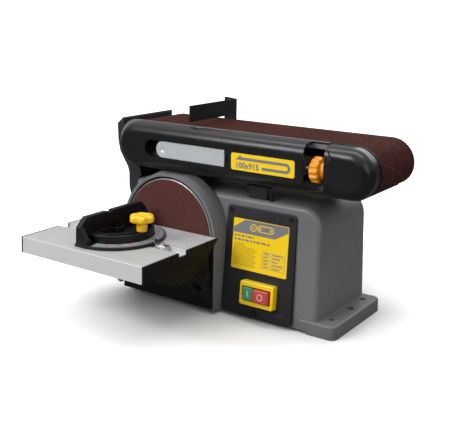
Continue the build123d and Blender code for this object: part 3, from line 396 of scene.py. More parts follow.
def laminated_core():
    """Steel sheets stacked along Y, with brownish stains."""
    sheet = 0.0007
    mat = Mat("laminated_core")
    stack = mat.math("SINE", mat.multiply(mat.xyz()[1], 2 * math.pi / sheet))
    colour = mat.vary(stack, srgb(96, 92, 88), srgb(142, 136, 128), (-0.6, 0.8))
    stain = mat.noise(80, detail=3, rough=0.7)
    colour = mat.vary(stain, colour, srgb(120, 84, 58), (0.5, 0.7), most=0.5)
    return mat.set(Base_Color=colour, Metallic=0.8,
                   Roughness=mat.remap(mat.noise(200, detail=3), target=(0.35, 0.55)),
                   Normal=mat.bump(stack, strength=0.15, distance=0.0001))


def edge_plate():
    """Thin facing plate of the arm: grey on the straight run, and black at the +X bend, where the
    black is painted shade for the gap there.
    """
    mat = Mat("edge_plate_end_shade")
    fine = mat.noise(1500, detail=3, rough=0.6)
    grey = mat.vary(fine, srgb(118, 119, 122), srgb(136, 137, 140))
    # painted shade: this black stands for the shaded gap at the +X bend of the plate
    black = mat.vary(fine, srgb(16, 16, 18), srgb(23, 23, 25))
    ragged = mat.multiply(mat.noise(260, detail=3, rough=0.6), 0.002)
    colour = mat.vary(mat.add(mat.xyz()[0], ragged), grey, black, (0.1500, 0.1545))
    smears = mat.noise(60, detail=4, rough=0.7)
    return mat.set(Base_Color=colour, Metallic=0.25,
                   Roughness=mat.remap(smears, target=(0.38, 0.52)),
                   Normal=mat.bump(fine, strength=0.06, distance=0.00012, soft=0.0003))


ZINC = ((0.60, 0.60, 0.58, 1), (0.72, 0.72, 0.70, 1))


def gauge_screw():
    """Two screws of the gauge: black oxide on the -X one, bright on the other."""
    mat = Mat("gauge_screw_finish")
    fine = mat.noise(1500, detail=3, rough=0.6)
    dark = mat.vary(fine, srgb(40, 40, 44), srgb(54, 54, 58))
    bright = mat.vary(fine, *ZINC)
    smears = mat.noise(45, detail=4, rough=0.7)
    return mat.set(Base_Color=mat.vary(mat.xyz()[0], dark, bright, (-0.0705, -0.0695)),
                   Roughness=mat.remap(smears, target=(0.22, 0.36)), Metallic=1.0,
                   Normal=mat.bump(fine, strength=0.05, distance=0.00015, soft=0.0004))


KNOB = dict(rough=(0.26, 0.38), bump=0.05)
BUTTON = dict(rough=(0.22, 0.32), grain=1500, bump=0.03, blotch=60, wear=0.4, coat=0.4)

MATS = {
    "body_paint": body_paint(),
    "table_alloy": table_alloy(),
    "belt_grit": abrasive("belt_grit", tint=srgb(22, 8, 7), tint_share=0.34,
                          streak=(0.5, 2.4, 1), seam=True),
    "disc_grit": abrasive("disc_grit", tint=srgb(116, 82, 78), tint_share=0.30),
    "cover": plastic("cover_gloss", srgb(13, 12, 14), srgb(18, 17, 19), rough=(0.26, 0.38),
                     grain=1500, bump=0.035, blotch=18, worn=srgb(50, 50, 54), wear=0.2,
                     coat=0.10, soft=0.0006, spec=0.4),
    "black_plastic": plastic("black_moulding", srgb(17, 17, 19), srgb(24, 24, 26),
                             rough=(0.42, 0.58), grain=1300, bump=0.14, blotch=22,
                             worn=srgb(54, 54, 58), wear=0.25, spec=0.15),
    "panel_plastic": plastic("panel_moulding", srgb(24, 23, 27), srgb(31, 30, 34),
                             rough=(0.36, 0.52), grain=1500, bump=0.10, blotch=22,
                             worn=srgb(88, 88, 94), soft=0.0006),
    "gauge_plastic": plastic("gauge_moulding", srgb(12, 11, 14), srgb(18, 17, 20),
                             rough=(0.38, 0.52), grain=1300, bump=0.12,
                             worn=srgb(62, 62, 68), soft=0.0006, spec=0.35),
    "black_steel": plastic("powder_coat", srgb(15, 15, 17), srgb(22, 22, 24),
                           rough=(0.36, 0.52), grain=850, bump=0.16,
                           worn=srgb(74, 74, 77), soft=0.0004, spec=0.4),
    "hood": plastic("hood_moulding", srgb(32, 32, 36), srgb(40, 40, 44), rough=(0.36, 0.5),
                    grain=1100, bump=0.12, blotch=22, worn=srgb(86, 86, 90)),
    "motor_iron": plastic("cast_iron", srgb(60, 61, 64), srgb(74, 75, 78), rough=(0.5, 0.68),
                          grain=700, bump=0.30, blotch=40, worn=srgb(128, 128, 130),
                          wear=0.35),
    "steel": metal("bright_steel", (0.52, 0.53, 0.55, 1), (0.64, 0.65, 0.67, 1),
                   rough=(0.20, 0.36), stretch=(900, 900, 60)),
    "bar_steel": metal("gauge_bar_steel", (0.56, 0.57, 0.58, 1), (0.70, 0.71, 0.72, 1),
                       rough=(0.22, 0.36), stretch=(30, 2000, 600)),
    "alloy": metal("machined_alloy", (0.66, 0.67, 0.69, 1), (0.76, 0.77, 0.79, 1),
                   rough=(0.24, 0.38), stretch=(1200, 60, 1200)),
    "disc_face": turned_disc(),
    "silver": metal("silver_paint", srgb(196, 202, 205), srgb(210, 216, 218),
                    rough=(0.34, 0.44), bump=0.05, metallic=0.35, grain=1600),
    "face_silver": edge_plate(),
    "chrome": metal("chrome_plate", (0.80, 0.81, 0.83, 1), (0.88, 0.89, 0.90, 1),
                    rough=(0.08, 0.18), bump=0.04, grain=600),
    "scale": printed("scale_plate", srgb(136, 136, 141), srgb(150, 150, 155)),
    "ink_black": printed("ink_black", srgb(22), srgb(32)),
    "ink_red": printed("ink_red", srgb(176, 24, 34), srgb(192, 34, 42)),
    "ink_grey": printed("ink_grey", srgb(118, 118, 124), srgb(128, 128, 134)),
    "ink_small": printed("ink_small", srgb(128, 112, 46), srgb(140, 122, 52)),
    "label": printed("label_film", srgb(250, 206, 8), srgb(254, 214, 20), rough=(0.26, 0.36)),
    "yellow": plastic("knob_yellow", srgb(246, 190, 30), srgb(250, 198, 40),
                      worn=srgb(252, 214, 90), **KNOB),
    "amber": plastic("knob_amber", srgb(240, 152, 14), srgb(246, 162, 22),
                     worn=srgb(250, 190, 70), **KNOB),
    "frame_yellow": plastic("frame_yellow", srgb(250, 206, 12), srgb(252, 212, 24),
                            worn=srgb(252, 220, 90), **KNOB),
    "green": plastic("button_green", srgb(70, 142, 104), srgb(80, 152, 114),
                     worn=srgb(150, 190, 168), **BUTTON),
    "red": plastic("button_red", srgb(186, 66, 60), srgb(196, 76, 70),
                   worn=srgb(220, 140, 134), **BUTTON),
    "mark_green": printed("mark_green", srgb(196, 220, 206), srgb(204, 226, 214)),
    "mark_red": printed("mark_red", srgb(232, 190, 188), srgb(238, 198, 196)),
    "orange": plastic("lever_orange", srgb(214, 108, 48), srgb(224, 118, 56),
                      rough=(0.3, 0.42), bump=0.06, blotch=40, worn=srgb(236, 160, 110)),
    "rubber": plastic("rubber", srgb(24, 24, 25), srgb(30, 30, 31), rough=(0.55, 0.72),
                      grain=1800, bump=0.10, blotch=40, worn=srgb(60), spec=0.3),
    "fan": plastic("fan_moulding", srgb(88), srgb(98), rough=(0.4, 0.55), bump=0.08,
                   blotch=40),
    "core": laminated_core(),
    "zinc": metal("bright_zinc", *ZINC, rough=(0.20, 0.34), bump=0.05),
    "gauge_screw": gauge_screw(),
    "black_screw": metal("black_oxide", srgb(48, 48, 52), srgb(62, 62, 66),
                         rough=(0.26, 0.40), bump=0.06, metallic=0.85),
}

# ================================================================== CAD pieces
# material: the CAD pieces that wear it
WORN_BY = {
    "body_paint": "base_casting",
    "black_steel": "bottom_plate disc_guard tilt_quadrant_right tilt_quadrant_left "
                   "rest_bracket drive_backplate arm_frame work_stop",
    "motor_iron": "motor_housing drum_bracket tension_carriage idler_yoke",
    "core": "motor_stator motor_rotor",
    "steel": "shaft_bearings motor_shaft tilt_pins drum_shaft tension_pin tension_spring "
             "idler_shaft idler_bearings",
    "bar_steel": "mitre_bar platen",
    "fan": "motor_fan",
    "disc_face": "disc_plate",
    "alloy": "drive_drum motor_pulley drum_pulley idler_drum",
    "disc_grit": "sanding_disc",
    "belt_grit": "sanding_belt",
    "table_alloy": "table_top",
    "black_plastic": "table_end_plates switch_body drive_cover",
    "gauge_plastic": "mitre_head",
    "panel_plastic": "switch_panel",
    "hood": "drum_hood",
    "cover": "front_cover",
    "black_screw": "table_screws body_screws",
    "gauge_screw": "mitre_screws",
    "zinc": "work_stop_screw",
    "orange": "tilt_lock_lever",
    "scale": "mitre_scale",
    "chrome": "mitre_pointer",
    "yellow": "mitre_knob",
    "amber": "tracking_knob",
    "frame_yellow": "switch_frame",
    "label": "rating_plate direction_label",
    "green": "start_button",
    "red": "stop_button",
    "rubber": "cord_bushing power_cord transmission_belt",
    "face_silver": "arm_face_plate",
    "silver": "tension_lever",
}

# edge radius in metres: the flat-faced CAD pieces rounded by it
ROUNDED = {
    0.0005: "table_top drum_hood drum_bracket",
    0.0004: "table_end_plates work_stop tilt_quadrant_right tilt_quadrant_left mitre_head "
            "idler_yoke tension_carriage drive_backplate",
    0.0003: "disc_guard rest_bracket mitre_bar arm_frame",
    0.0002: "platen",
    0.0001: "rating_plate direction_label",
}


def by_piece(groups):
    return {piece: key for key, pieces in groups.items() for piece in pieces.split()}


def smooth_group():
    """Node group that shades smooth except across edges sharper than the limit."""
    limit = math.radians(33)
    group = bpy.data.node_groups.new("smooth_by_angle", "GeometryNodeTree")
    for in_out in ("INPUT", "OUTPUT"):
        group.interface.new_socket("Geometry", in_out=in_out,
                                   socket_type="NodeSocketGeometry")
    source = group.nodes.new("NodeGroupInput")
    result = group.nodes.new("NodeGroupOutput")
    faces = group.nodes.new("GeometryNodeSetShadeSmooth")
    faces.domain = "FACE"
    edges = group.nodes.new("GeometryNodeSetShadeSmooth")
    edges.domain = "EDGE"
    angle = group.nodes.new("GeometryNodeInputMeshEdgeAngle")
    below = group.nodes.new("FunctionNodeCompare")
    below.data_type = "FLOAT"
    below.operation = "LESS_THAN"
    group.links.new(angle.outputs[0], below.inputs[0])
    below.inputs[1].default_value = limit
    group.links.new(source.outputs[0], faces.inputs["Geometry"])
    group.links.new(faces.outputs[0], edges.inputs["Geometry"])
    group.links.new(below.outputs[0], edges.inputs["Shade Smooth"])
    group.links.new(edges.outputs[0], result.inputs[0])
    return group


SMOOTH = smooth_group()


def smooth(piece, weighted=True):
    piece.modifiers.new("smooth", "NODES").node_group = SMOOTH
    if weighted:
        normals = piece.modifiers.new("normals", "WEIGHTED_NORMAL")
        normals.mode = "FACE_AREA"
        normals.weight = 50
        normals.keep_sharp = True


def round_edges(piece, radius):
    """Merges flat faces, then bevels the edges between them."""
    flats = piece.modifiers.new("flats", "DECIMATE")
    flats.decimate_type = "DISSOLVE"
    flats.angle_limit = math.radians(0.4)
    edges = piece.modifiers.new("edges", "BEVEL")
    edges.width = radius
    edges.segments = 2
    edges.limit_method = "ANGLE"
    edges.angle_limit = math.radians(40)
    edges.use_clamp_overlap = True
    edges.miter_outer = "MITER_ARC"


def dress_cad_pieces():
    material_of = by_piece(WORN_BY)
    radius_of = by_piece(ROUNDED)
    for name, piece in NODES.items():
        piece.data.materials.clear()
        piece.data.materials.append(MATS[material_of[name]])
        if piece.data.has_custom_normals:
            with bpy.context.temp_override(object=piece, active_object=piece,
                                           selected_objects=[piece],
                                           selected_editable_objects=[piece]):
                bpy.ops.mesh.customdata_custom_splitnormals_clear()
        piece.modifiers.new("weld", "WELD").merge_threshold = 2e-6
        if name in radius_of:
            round_edges(piece, radius_of[name])
        smooth(piece)


dress_cad_pieces()


# ================================================================ mesh helpers
# A mesh is a pair (vertices in metres, faces).
def add_piece(name, mesh, material, body, replaces=None, shading="weighted"):
    """Makes a piece; shading is "weighted", "smooth" or None for flat."""
    verts, faces = mesh
    data = bpy.data.meshes.new(name)
    data.from_pydata([tuple(v) for v in verts], [], faces)
    data.validate()
    edit = bmesh.new()
    edit.from_mesh(data)
    bmesh.ops.recalc_face_normals(edit, faces=edit.faces)
    edit.to_mesh(data)
    edit.free()
    data.materials.append(MATS[material])
    piece = bpy.data.objects.new(name, data)
    bpy.context.scene.collection.objects.link(piece)
    if shading:
        smooth(piece, shading == "weighted")
    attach(piece, body)
    if replaces:
        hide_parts(replaces)


def add_print(name, mesh, material, body):
    add_piece(name, mesh, material, body, shading=None)


def tube(rings):
    """A skin through equal-length rings, with fan caps at both ends."""
    verts, faces = [], []
    n = len(rings[0])
    for ring in rings:
        verts += ring
    for k in range(len(rings) - 1):
        for j in range(n):
            a, b = k * n + j, k * n + (j + 1) % n
            faces.append((a, b, b + n, a + n))
    for k in (0, len(rings) - 1):
        verts.append(sum(rings[k], Vector((0, 0, 0))) / n)
        centre = len(verts) - 1
        for j in range(n):
            faces.append((k * n + j, k * n + (j + 1) % n, centre))
    return verts, faces


def plates(outlines, place, depths):
    """Prisms on flat outlines in (u, v); place(u, v, depth) gives the point."""
    verts, faces = [], []
    for outline in outlines:
        n, k = len(outline), len(verts)
        verts += [place(u, v, depth) for depth in depths for u, v in outline]
        faces.append(tuple(k + j for j in range(n)))
        faces.append(tuple(k + n + j for j in reversed(range(n))))
        for j in range(n):
            faces.append((k + j, k + (j + 1) % n, k + n + (j + 1) % n, k + n + j))
    return verts, faces


def bands(pairs, place, depths):
    """Closed bands between outer and inner outlines with the same count."""
    verts, faces = [], []
    low, high = depths
    for outer, inner in pairs:
        n, k = len(outer), len(verts)
        for outline, depth in ((outer, low), (inner, low), (inner, high), (outer, high)):
            verts += [place(u, v, depth) for u, v in outline]
        for j in range(n):
            jj = (j + 1) % n
            for a, b in ((0, 1), (1, 2), (2, 3), (3, 0)):
                faces.append((k + a * n + j, k + a * n + jj, k + b * n + jj, k + b * n + j))
    return verts, faces


def arc(x, y, radius, start, sweep, steps):
    """Points of an arc, both ends included; angles in degrees."""
    angles = [math.radians(start + sweep * k / steps) for k in range(steps + 1)]
    return [(x + radius * math.cos(a), y + radius * math.sin(a)) for a in angles]


def circle(x, y, radius, count=40):
    return arc(x, y, radius, 0, 360.0, count)[:-1]


def rect(x0, x1, y0, y1, corner=0.0):
    if not corner:
        return [(x0, y0), (x1, y0), (x1, y1), (x0, y1)]
    left, right, low, high = x0 + corner, x1 - corner, y0 + corner, y1 - corner
    outline = []
    for x, y, start in ((right, low, -90), (right, high, 0), (left, high, 90),
                        (left, low, 180)):
        outline += arc(x, y, corner, start, 90.0, 4)
    return outline


def stadium(x, y, length, radius):
    """Round-ended outline; length is between the centres of its ends."""
    return (arc(x + length / 2, y, radius, -90, 180.0, 10)
            + arc(x - length / 2, y, radius, 90, 180.0, 10))


TEXT_THICK = 0.00012     # metres


def text_mesh(text, size, place, bold=0.0):
    """Extruded numerals; size and bold, and the u, v, depth given to place, are in metres."""
    curve = bpy.data.curves.new("txt", "FONT")
    curve.body = text
    curve.size = size
    curve.align_x = "CENTER"
    curve.align_y = "CENTER"
    curve.extrude = TEXT_THICK / 2
    curve.resolution_u = 4
    curve.offset = bold
    holder = bpy.data.objects.new("txt", curve)
    bpy.context.scene.collection.objects.link(holder)
    graph = bpy.context.evaluated_depsgraph_get()
    data = bpy.data.meshes.new_from_object(holder.evaluated_get(graph))
    verts = [place(*v.co) for v in data.vertices]
    faces = [tuple(p.vertices) for p in data.polygons]
    bpy.data.objects.remove(holder)
    bpy.data.meshes.remove(data)
    bpy.data.curves.remove(curve)
    return verts, faces


def join(meshes):
    verts, faces = [], []
    for part_verts, part_faces in meshes:
        k = len(verts)
        verts += part_verts
        faces += [tuple(i + k for i in face) for face in part_faces]
    return verts, faces


# ============================================================ knobs and threads
def turn(k, count):
    return 2 * math.pi * k / count


def lobed_knob(profile, place, segments, lobes, phase, power, depth):
    """Skin on a profile of (radius, station, lobe share); place(radius, angle, station)."""
    rings = []
    for radius, station, share in profile:
        ring = []
        for k in range(segments):
            angle = turn(k, segments)
            hollow = 0.5 - 0.5 * math.cos(lobes * (angle - phase))
            ring.append(place(radius * (1 - share * hollow ** power * depth), angle, station))
        rings.append(ring)
    return tube(rings)


def thread(starts, root, crest, place):
    """Ridges of 1 mm pitch, one from each start, as plain rings."""
    return tube([[place(radius, turn(k, 32), start + step) for k in range(32)]
                 for start in starts
                 for step, radius in ((0.0, root), (0.25, crest), (0.5, crest), (0.75, root))])


# radius, height z in the drawing, share of the radius cut by the hollows
MITRE_PROFILE = [
    (0.6, 123.75, 0), (6.2, 123.75, 0), (6.9, 124.1, 0), (7.15, 125.0, 0), (7.15, 129.0, 0),
    (7.3, 132.2, 0), (7.9, 133.9, 0.01), (9.6, 135.2, 0.04), (12.2, 136.0, 0.09),
    (14.8, 136.7, 0.135), (16.4, 137.7, 0.165), (17.1, 139.0, 0.18), (17.3, 140.4, 0.185),
    (17.3, 141.8, 0.185), (17.0, 143.1, 0.18), (16.3, 144.3, 0.17), (15.1, 145.2, 0.15),
    (13.2, 145.8, 0.12), (10.8, 146.0, 0.08), (8.4, 146.0, 0.04), (7.2, 145.8, 0.01),
    (6.6, 145.3, 0), (5.6, 145.1, 0), (2.6, 145.1, 0), (0.6, 145.1, 0)]
# radius, place x in the drawing, share of the radius cut by the hollows
TRACKING_PROFILE = [
    (0.5, 211.05, 0), (4.6, 211.05, 0), (5.0, 211.4, 0), (5.0, 216.3, 0), (6.0, 216.5, 0),
    (11.5, 216.5, 0), (14.5, 216.6, 0.03), (16.2, 216.9, 0.07), (17.0, 217.7, 0.105),
    (17.4, 218.8, 0.125), (17.5, 220.2, 0.13), (17.5, 225.8, 0.13), (17.3, 227.2, 0.125),
    (16.6, 228.4, 0.10), (15.2, 229.2, 0.06), (13.2, 229.55, 0.02), (11.9, 229.75, 0),
    (11.3, 230.1, 0), (11.05, 231.0, 0), (10.9, 238.4, 0), (10.5, 239.8, 0), (9.7, 240.6, 0),
    (0.5, 240.6, 0)]


def mitre_knob():
    """Six-lobed knob on an upright threaded stud."""
    profile_top = 146.0
    stud_foot, stud_turns = 103.3, 21
    low, high = box_mm("mitre_knob")
    axis_x, axis_y = (low[0] + high[0]) / 2, (low[1] + high[1]) / 2

    def place(radius, angle, z):
        return row(axis_x + radius * math.cos(angle), axis_y + radius * math.sin(angle),
                   z - profile_top + high[2])

    knob = lobed_knob(MITRE_PROFILE, place, segments=168, lobes=6, phase=math.radians(12),
                      power=1.5, depth=1.12)
    add_piece("mitre_knob_grip", knob, "yellow", "mitre_clamp",
              replaces="mitre_knob", shading="smooth")
    stud = thread([stud_foot + k for k in range(stud_turns)], 2.62, 2.93, place)
    add_piece("mitre_clamp_stud", stud, "zinc", "mitre_clamp")


def tracking_knob():
    """Twelve-lobed knob on a threaded screw along X; the thread skips the knob."""
    knob_start, knob_end = 210.9 - DRAWING_X, 240.6 - DRAWING_X
    low, high = box_mm("tracking_knob")
    axis_y, axis_z = (low[1] + high[1]) / 2, (low[2] + high[2]) / 2

    def place(radius, angle, x):
        return row(x, axis_y + radius * math.cos(angle), axis_z + radius * math.sin(angle))

    def place_drawn(radius, angle, x):
        return place(radius, angle, x - DRAWING_X)

    knob = lobed_knob(TRACKING_PROFILE, place_drawn, segments=192, lobes=12, phase=0.0,
                      power=1.6, depth=1.0)
    add_piece("tracking_knob_grip", knob, "amber", "tracker",
              replaces="tracking_knob", shading="smooth")
    starts = []
    x = low[0]
    while x < high[0] - 1.01:
        if not knob_start < x < knob_end:
            starts.append(x)
        x += 1.0
    add_piece("tracking_screw_thread", thread(starts, 2.68, 2.97, place), "zinc", "tracker")


mitre_knob()
tracking_knob()


# ============================================================ direction label
def direction_label():
    """U-turn arrow and numerals on the -Y face of the label; u, v are shares of its size."""
    low, high = box_mm("direction_label")
    width, height = high[0] - low[0], high[2] - low[2]

    def place(u, v, depth):
        return row(low[0] + u * width, low[1] - depth, low[2] + v * height)

    half = 0.085                  # half thickness of the line
    upper, lower = 0.70, 0.27     # centre lines of the two runs
    bend_u = 0.87
    bend_radius = (upper - lower) / 2

    def bend(radius):
        return [(bend_u + x * height / width, (upper + lower) / 2 + y)
                for x, y in arc(0, 0, radius, 90, -180.0, 16)]

    arrow = [(0.165, upper + half), *bend(bend_radius + half),
             (0.50, lower - half), (0.50, lower + half), *reversed(bend(bend_radius - half)),
             (0.075, upper - half), (0.155, upper + half + 0.12)]
    add_print("label_arrow", plates([arrow], place, (-0.02, 0.10)), "ink_grey", "arm")
    middle = place(0.262, 0.29, 0.04)
    numerals = text_mesh("100x915", 0.0108, lambda u, v, depth: middle + Vector((u, -depth, v)),
                         bold=0.00034)
    add_print("label_numerals", numerals, "ink_grey", "arm")


direction_label()

# ================================================================ rating plate
PANEL_LEAN = math.atan2(14.4, 145.6)        # the panel's top leans to +Y
PANEL_FOOT_Y, PANEL_FOOT_Z = -76.0, 5.0
PLATE_X0, PLATE_X1, PLATE_Z0, PLATE_Z1 = 97.0, 185.0, 66.0, 134.0
PLATE_FACE = -0.35                          # from the panel's plane
PRINT_DEPTHS = (-0.02, 0.09)


def on_panel(x, z, depth):
    """Drawing x, z on the leaning panel, depth outwards from its plane."""
    y = PANEL_FOOT_Y + (z - PANEL_FOOT_Z) * math.tan(PANEL_LEAN)
    return drawn(x, y - depth * math.cos(PANEL_LEAN), z + depth * math.sin(PANEL_LEAN))


def on_plate(x, y, depth):
    """x from the plate's -X edge, y down from its top edge."""
    return on_panel(PLATE_X0 + x, PLATE_Z1 - y, PLATE_FACE + depth)


def add_plate_print(name, mesh, material="ink_grey"):
    add_print(name, mesh, material, "base")


def plate_band():
    """Slanted band across the top, in shares of the plate's width and height."""
    width, height = PLATE_X1 - PLATE_X0, PLATE_Z1 - PLATE_Z0
    band = [(u * width, v * height) for u, v in (
        (0.215, 0.012), (0.988, 0.012), (0.992, 0.12), (0.765, 0.285), (0.008, 0.285),
        (0.008, 0.185))]
    add_plate_print("plate_band", plates([band], on_plate, (-0.02, 0.10)))


def plate_pictogram():
    """A disc beside a belt loop over two rollers."""
    y = 9.6
    disc_x, belt_x, belt_length = 32.5, 52.0, 17.0
    rollers = (belt_x - belt_length / 2, belt_x + belt_length / 2)
    pairs = [(circle(disc_x, y, 5.2), circle(disc_x, y, 3.9)),
             (circle(disc_x, y, 1.3), circle(disc_x, y, 0.5)),
             (stadium(belt_x, y, belt_length, 4.6), stadium(belt_x, y, belt_length, 3.4))]
    pairs += [(circle(x, y, 1.9), circle(x, y, 0.8)) for x in rollers]
    add_plate_print("plate_pictogram", bands(pairs, on_plate, (0.09, 0.20)), "label")


word_random = random.Random(7)


def words(x0, x1, y, height, length):
    """A row of short bars that stands for a line of print."""
    row_bars = []
    x = x0
    while x < x1 - 1.2:
        width = min(length * (0.5 + word_random.random()), x1 - x)
        row_bars.append(rect(x, x + width, y, y + height))
        x += width + height * 0.7
    return row_bars


def plate_text():
    margin = 2.8
    heading = words(margin, 34, 22.0, height=2.3, length=5.0)
    heading += words(margin, 62, 27.2, height=2.5, length=6.0)
    add_plate_print("plate_heading", plates(heading, on_plate, PRINT_DEPTHS))
    small = []
    for k in range(13):
        end = (22 if k < 2 else 40) - (k % 3) * 2.2
        small += words(margin, end, 33.2 + k * 2.35, height=0.75, length=3.0)
    add_plate_print("plate_rows", plates(small, on_plate, PRINT_DEPTHS), "ink_small")


def plate_table():
    """Five-row table in a rounded frame, with a rule between its two columns."""
    x0, x1, y0, y1 = 49.0, 84.5, 38.5, 61.0
    line, rule = 0.35, 0.22
    pitch = (y1 - y0) / 5
    in_x0, in_x1, in_y0, in_y1 = x0 + line, x1 - line, y0 + line, y1 - line
    border = (rect(x0, x1, y0, y1, 0.8), rect(in_x0, in_x1, in_y0, in_y1, 0.6))
    bars = [rect(in_x0, in_x1, y0 + k * pitch, y0 + k * pitch + rule) for k in range(1, 5)]
    bars.append(rect(x0 + 13, x0 + 13 + rule, in_y0, in_y1))
    for k in range(5):
        y = y0 + 1.5 + k * pitch
        bars.append(rect(x0 + 2, x0 + 10.5 - (k % 2) * 2, y, y + 1.4))
        bars.append(rect(x0 + 15.5, x1 - 3.5 - (k % 3) * 4, y, y + 1.4))
    add_plate_print("plate_table", join([bands([border], on_plate, PRINT_DEPTHS),
                                         plates(bars, on_plate, PRINT_DEPTHS)]))


def button_marks():
    """An upright bar on the start button and a ring on the stop button."""
    start_x, stop_x, z = 133.2, 154.7, 38.4
    half_width, half_height = 0.72, 4.3
    bar = rect(start_x - half_width, start_x + half_width, z - half_height, z + half_height,
               corner=0.5)
    add_print("start_mark", plates([bar], on_panel, (9.82, 10.12)), "mark_green", "start")
    ring = (circle(stop_x, z, 4.5, 56), circle(stop_x, z, 3.3, 56))
    add_print("stop_mark", bands([ring], on_panel, (13.22, 13.52)), "mark_red", "stop")


plate_band()
plate_pictogram()
plate_text()
plate_table()
button_marks()

# ================================================================= mitre gauge
MITRE_X, MITRE_Y = -25.0, -165.0     # centre of the dial, in the drawing
SCALE_TOP = box_mm("mitre_scale")[1][2]


def on_scale(radius, degrees, depth, aside):
    """Point of the dial at an angle from +X, depth above it, shifted aside."""
    angle = math.radians(degrees)
    return drawn(MITRE_X + radius * math.cos(angle) - aside * math.sin(angle),
                 MITRE_Y + radius * math.sin(angle) + aside * math.cos(angle),
                 SCALE_TOP + depth)


def scale_ticks():
    """A tick for each degree, longer and wider every 5 and every 10."""
    outer = 64.2
    ticks = []
    for degrees in range(-70, 71):
        if degrees % 10 == 0:
            inner, half = 59.9, 0.34
        elif degrees % 5 == 0:
            inner, half = 61.4, 0.26
        else:
            inner, half = 62.5, 0.17
        outline = [(inner, -half), (outer, -half), (outer, half), (inner, half)]
        ticks.append(plates([outline], lambda u, v, depth: on_scale(u, degrees, depth, v),
                            PRINT_DEPTHS))
    add_print("scale_ticks", join(ticks), "ink_black", "mitre_fence")


def scale_numerals():
    """Numerals every 15 degrees, red and black by turns, with their feet outwards."""
    radius = 56.0
    reds, blacks = [], []
    for k, degrees in enumerate(range(-60, 61, 15)):
        def place(u, v, depth):
            return on_scale(radius - v * 1000.0, degrees, 0.04 + depth * 1000.0, u * 1000.0)
        (blacks if k % 2 else reds).append(text_mesh(str(abs(degrees)), 0.0072, place))
    for name, numerals, ink in (("scale_numerals_a", reds, "ink_red"),
                                ("scale_numerals_b", blacks, "ink_black")):
        add_print(name, join(numerals), ink, "mitre_fence")


def pointer_strip():
    """Bent strip that widens from its raised -X tip."""
    # drawing x, z of the centre line
    path = [(36.8, 116.0), (38.6, 115.6), (40.2, 114.8), (41.2, 113.6), (41.9, 112.2),
            (42.6, 110.8), (43.6, 109.9), (45.2, 109.55), (48.0, 109.45), (60.0, 109.45)]
    # share of the half width, share of the half thickness
    section = [(-1, -1), (-0.8, -1), (0.8, -1), (1, -1), (1, 0),
               (1, 1), (0.8, 1), (-0.8, 1), (-1, 1), (-1, 0)]
    tip_x, taper_end = path[0][0], 41.5
    tip_half, half_gain, half_thick = 1.0, 3.9, 0.5
    rings = []
    for k, (x, z) in enumerate(path):
        before = path[max(k - 1, 0)]
        after = path[min(k + 1, len(path) - 1)]
        dx, dz = after[0] - before[0], after[1] - before[1]
        length = math.hypot(dx, dz)
        normal_x, normal_z = -dz / length, dx / length
        if x < taper_end:
            half = tip_half + half_gain * min(1.0, (x - tip_x) / 4.6)
            y = MITRE_Y + 1.0 + 2.0 * (x - tip_x) / (taper_end - tip_x)
        else:
            half = tip_half + half_gain
            y = MITRE_Y + 3
        rings.append([drawn(x + normal_x * thick * half_thick, y + side * half,
                            z + normal_z * thick * half_thick) for side, thick in section])
    add_piece("pointer_strip", tube(rings), "chrome", "mitre_slider",
              replaces="mitre_pointer")


scale_ticks()
scale_numerals()
pointer_strip()


# ====================================================================== studio
def grey(value):
    return (value, value, value, 1)


def studio_floor():
    """Floor that fades to white away from the machine, and is darker to all but the lens."""
    bpy.ops.mesh.primitive_plane_add(size=8.0, location=(0, 0, -0.0002))
    floor = bpy.context.object
    floor.name = "studio_floor"
    mat = Mat("floor_pale")
    rays = mat.node("ShaderNodeLightPath").outputs
    camera_ray, glossy_ray = rays["Is Camera Ray"], rays["Is Glossy Ray"]
    x, y, _ = mat.xyz()
    distance = mat.math("SQRT", mat.add(mat.multiply(x, x), mat.multiply(y, y)))
    far = mat.remap(distance, (0.16, 0.42))
    colour = mat.vary(mat.noise(3, detail=3), grey(0.86), grey(0.88))
    colour = mat.mix(mat.subtract(1.0, camera_ray), colour, grey(0.40))
    colour = mat.mix(mat.multiply(glossy_ray, 0.85), colour, grey(0.04))
    glow = 1.0
    mat.set(Base_Color=colour, Roughness=0.7,
            Normal=mat.bump(mat.noise(300), strength=0.03, distance=0.0002),
            Emission_Color=grey(1),
            Emission_Strength=mat.multiply(mat.multiply(far, camera_ray), glow))
    floor.data.materials.append(mat.material)


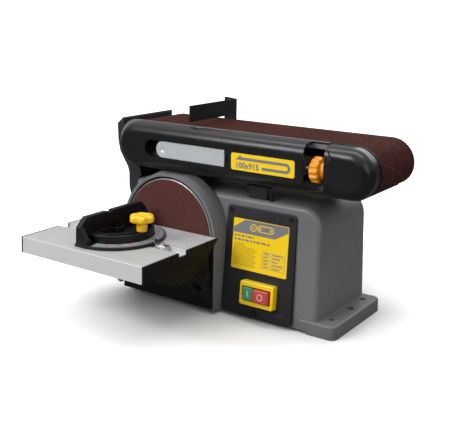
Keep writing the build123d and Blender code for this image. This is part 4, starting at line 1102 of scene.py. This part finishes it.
def studio_world():
    """White to the lens, soft light from above, and a dark horizon in reflections."""
    world = bpy.data.worlds.new("studio")
    bpy.context.scene.world = world
    world.use_nodes = True
    graph = Graph(world.node_tree)
    background = graph.tree.nodes["Background"]
    background.inputs[0].default_value = grey(1.0)
    rays = graph.node("ShaderNodeLightPath").outputs
    glossy = rays["Is Glossy Ray"]
    up = graph.separate(graph.node("ShaderNodeTexCoord").outputs["Generated"])[2]
    reflected = graph.remap(up, source=(0.05, 0.85), target=(0.10, 1.0))
    diffuse = graph.remap(up, source=(0.0, 0.9), target=(0.20, 0.65))
    lens_strength = 1.0
    seen = graph.multiply(rays["Is Camera Ray"], lens_strength)
    shine = graph.multiply(graph.multiply(glossy, graph.subtract(1.0, seen)), reflected)
    others = graph.multiply(graph.subtract(1.0, seen), graph.subtract(1.0, glossy))
    rest = graph.multiply(others, diffuse)
    graph.put(background.inputs[1], graph.add(graph.add(seen, shine), rest))


# name, place and target in metres, width, height, power in watts
LIGHTS = [
    ("key", (-0.60, -1.30, 0.95), (0, -0.05, 0.12), 0.7, 0.6, 14.5),
    ("fill", (1.25, -0.95, 0.75), (0.05, 0, 0.12), 0.7, 0.7, 2.6),
    ("top", (0.0, -0.15, 1.35), (0, 0, 0.1), 1.4, 0.4, 8),
    ("rim", (0.2, 1.2, 0.9), (0, 0, 0.18), 1.3, 0.5, 5),
]


def studio_lights():
    for name, place, target, width, height, power in LIGHTS:
        data = bpy.data.lights.new(name, "AREA")
        data.shape = "RECTANGLE"
        data.size, data.size_y = width, height
        data.energy = power
        light = bpy.data.objects.new(name, data)
        bpy.context.scene.collection.objects.link(light)
        light.location = place
        aim = Vector(target) - Vector(place)
        light.rotation_euler = aim.to_track_quat("-Z", "Y").to_euler()


def studio_camera():
    """Camera on the -Y, +X side, looking past a target point, with a shifted frame."""
    azimuth, elevation, roll = math.radians(34.49), math.radians(4.57), math.radians(0.79)
    target = drawn(71.09, -27.5, 335.95)
    distance = 1.13963       # metres
    back = Vector((math.sin(azimuth) * math.cos(elevation),
                   -math.cos(azimuth) * math.cos(elevation), math.sin(elevation)))
    level = Vector((math.cos(azimuth), math.sin(azimuth), 0))
    upright = back.cross(level)
    right = math.cos(roll) * level + math.sin(roll) * upright
    up = -math.sin(roll) * level + math.cos(roll) * upright
    data = bpy.data.cameras.new("camera")
    data.sensor_width = 36.0
    data.sensor_fit = "HORIZONTAL"
    data.lens = 64.420927
    data.shift_x = -0.019646799
    data.shift_y = -0.33112583
    data.clip_start = 0.01
    camera = bpy.data.objects.new("camera", data)
    bpy.context.scene.collection.objects.link(camera)
    matrix = Matrix((right, up, back)).transposed().to_4x4()
    matrix.translation = target + back * distance
    camera.matrix_world = matrix
    bpy.context.scene.camera = camera


studio_floor()
studio_world()
studio_lights()
studio_camera()

view = bpy.context.scene.view_settings
view.view_transform = "Standard"
view.look = "None"
view.exposure = 0.0
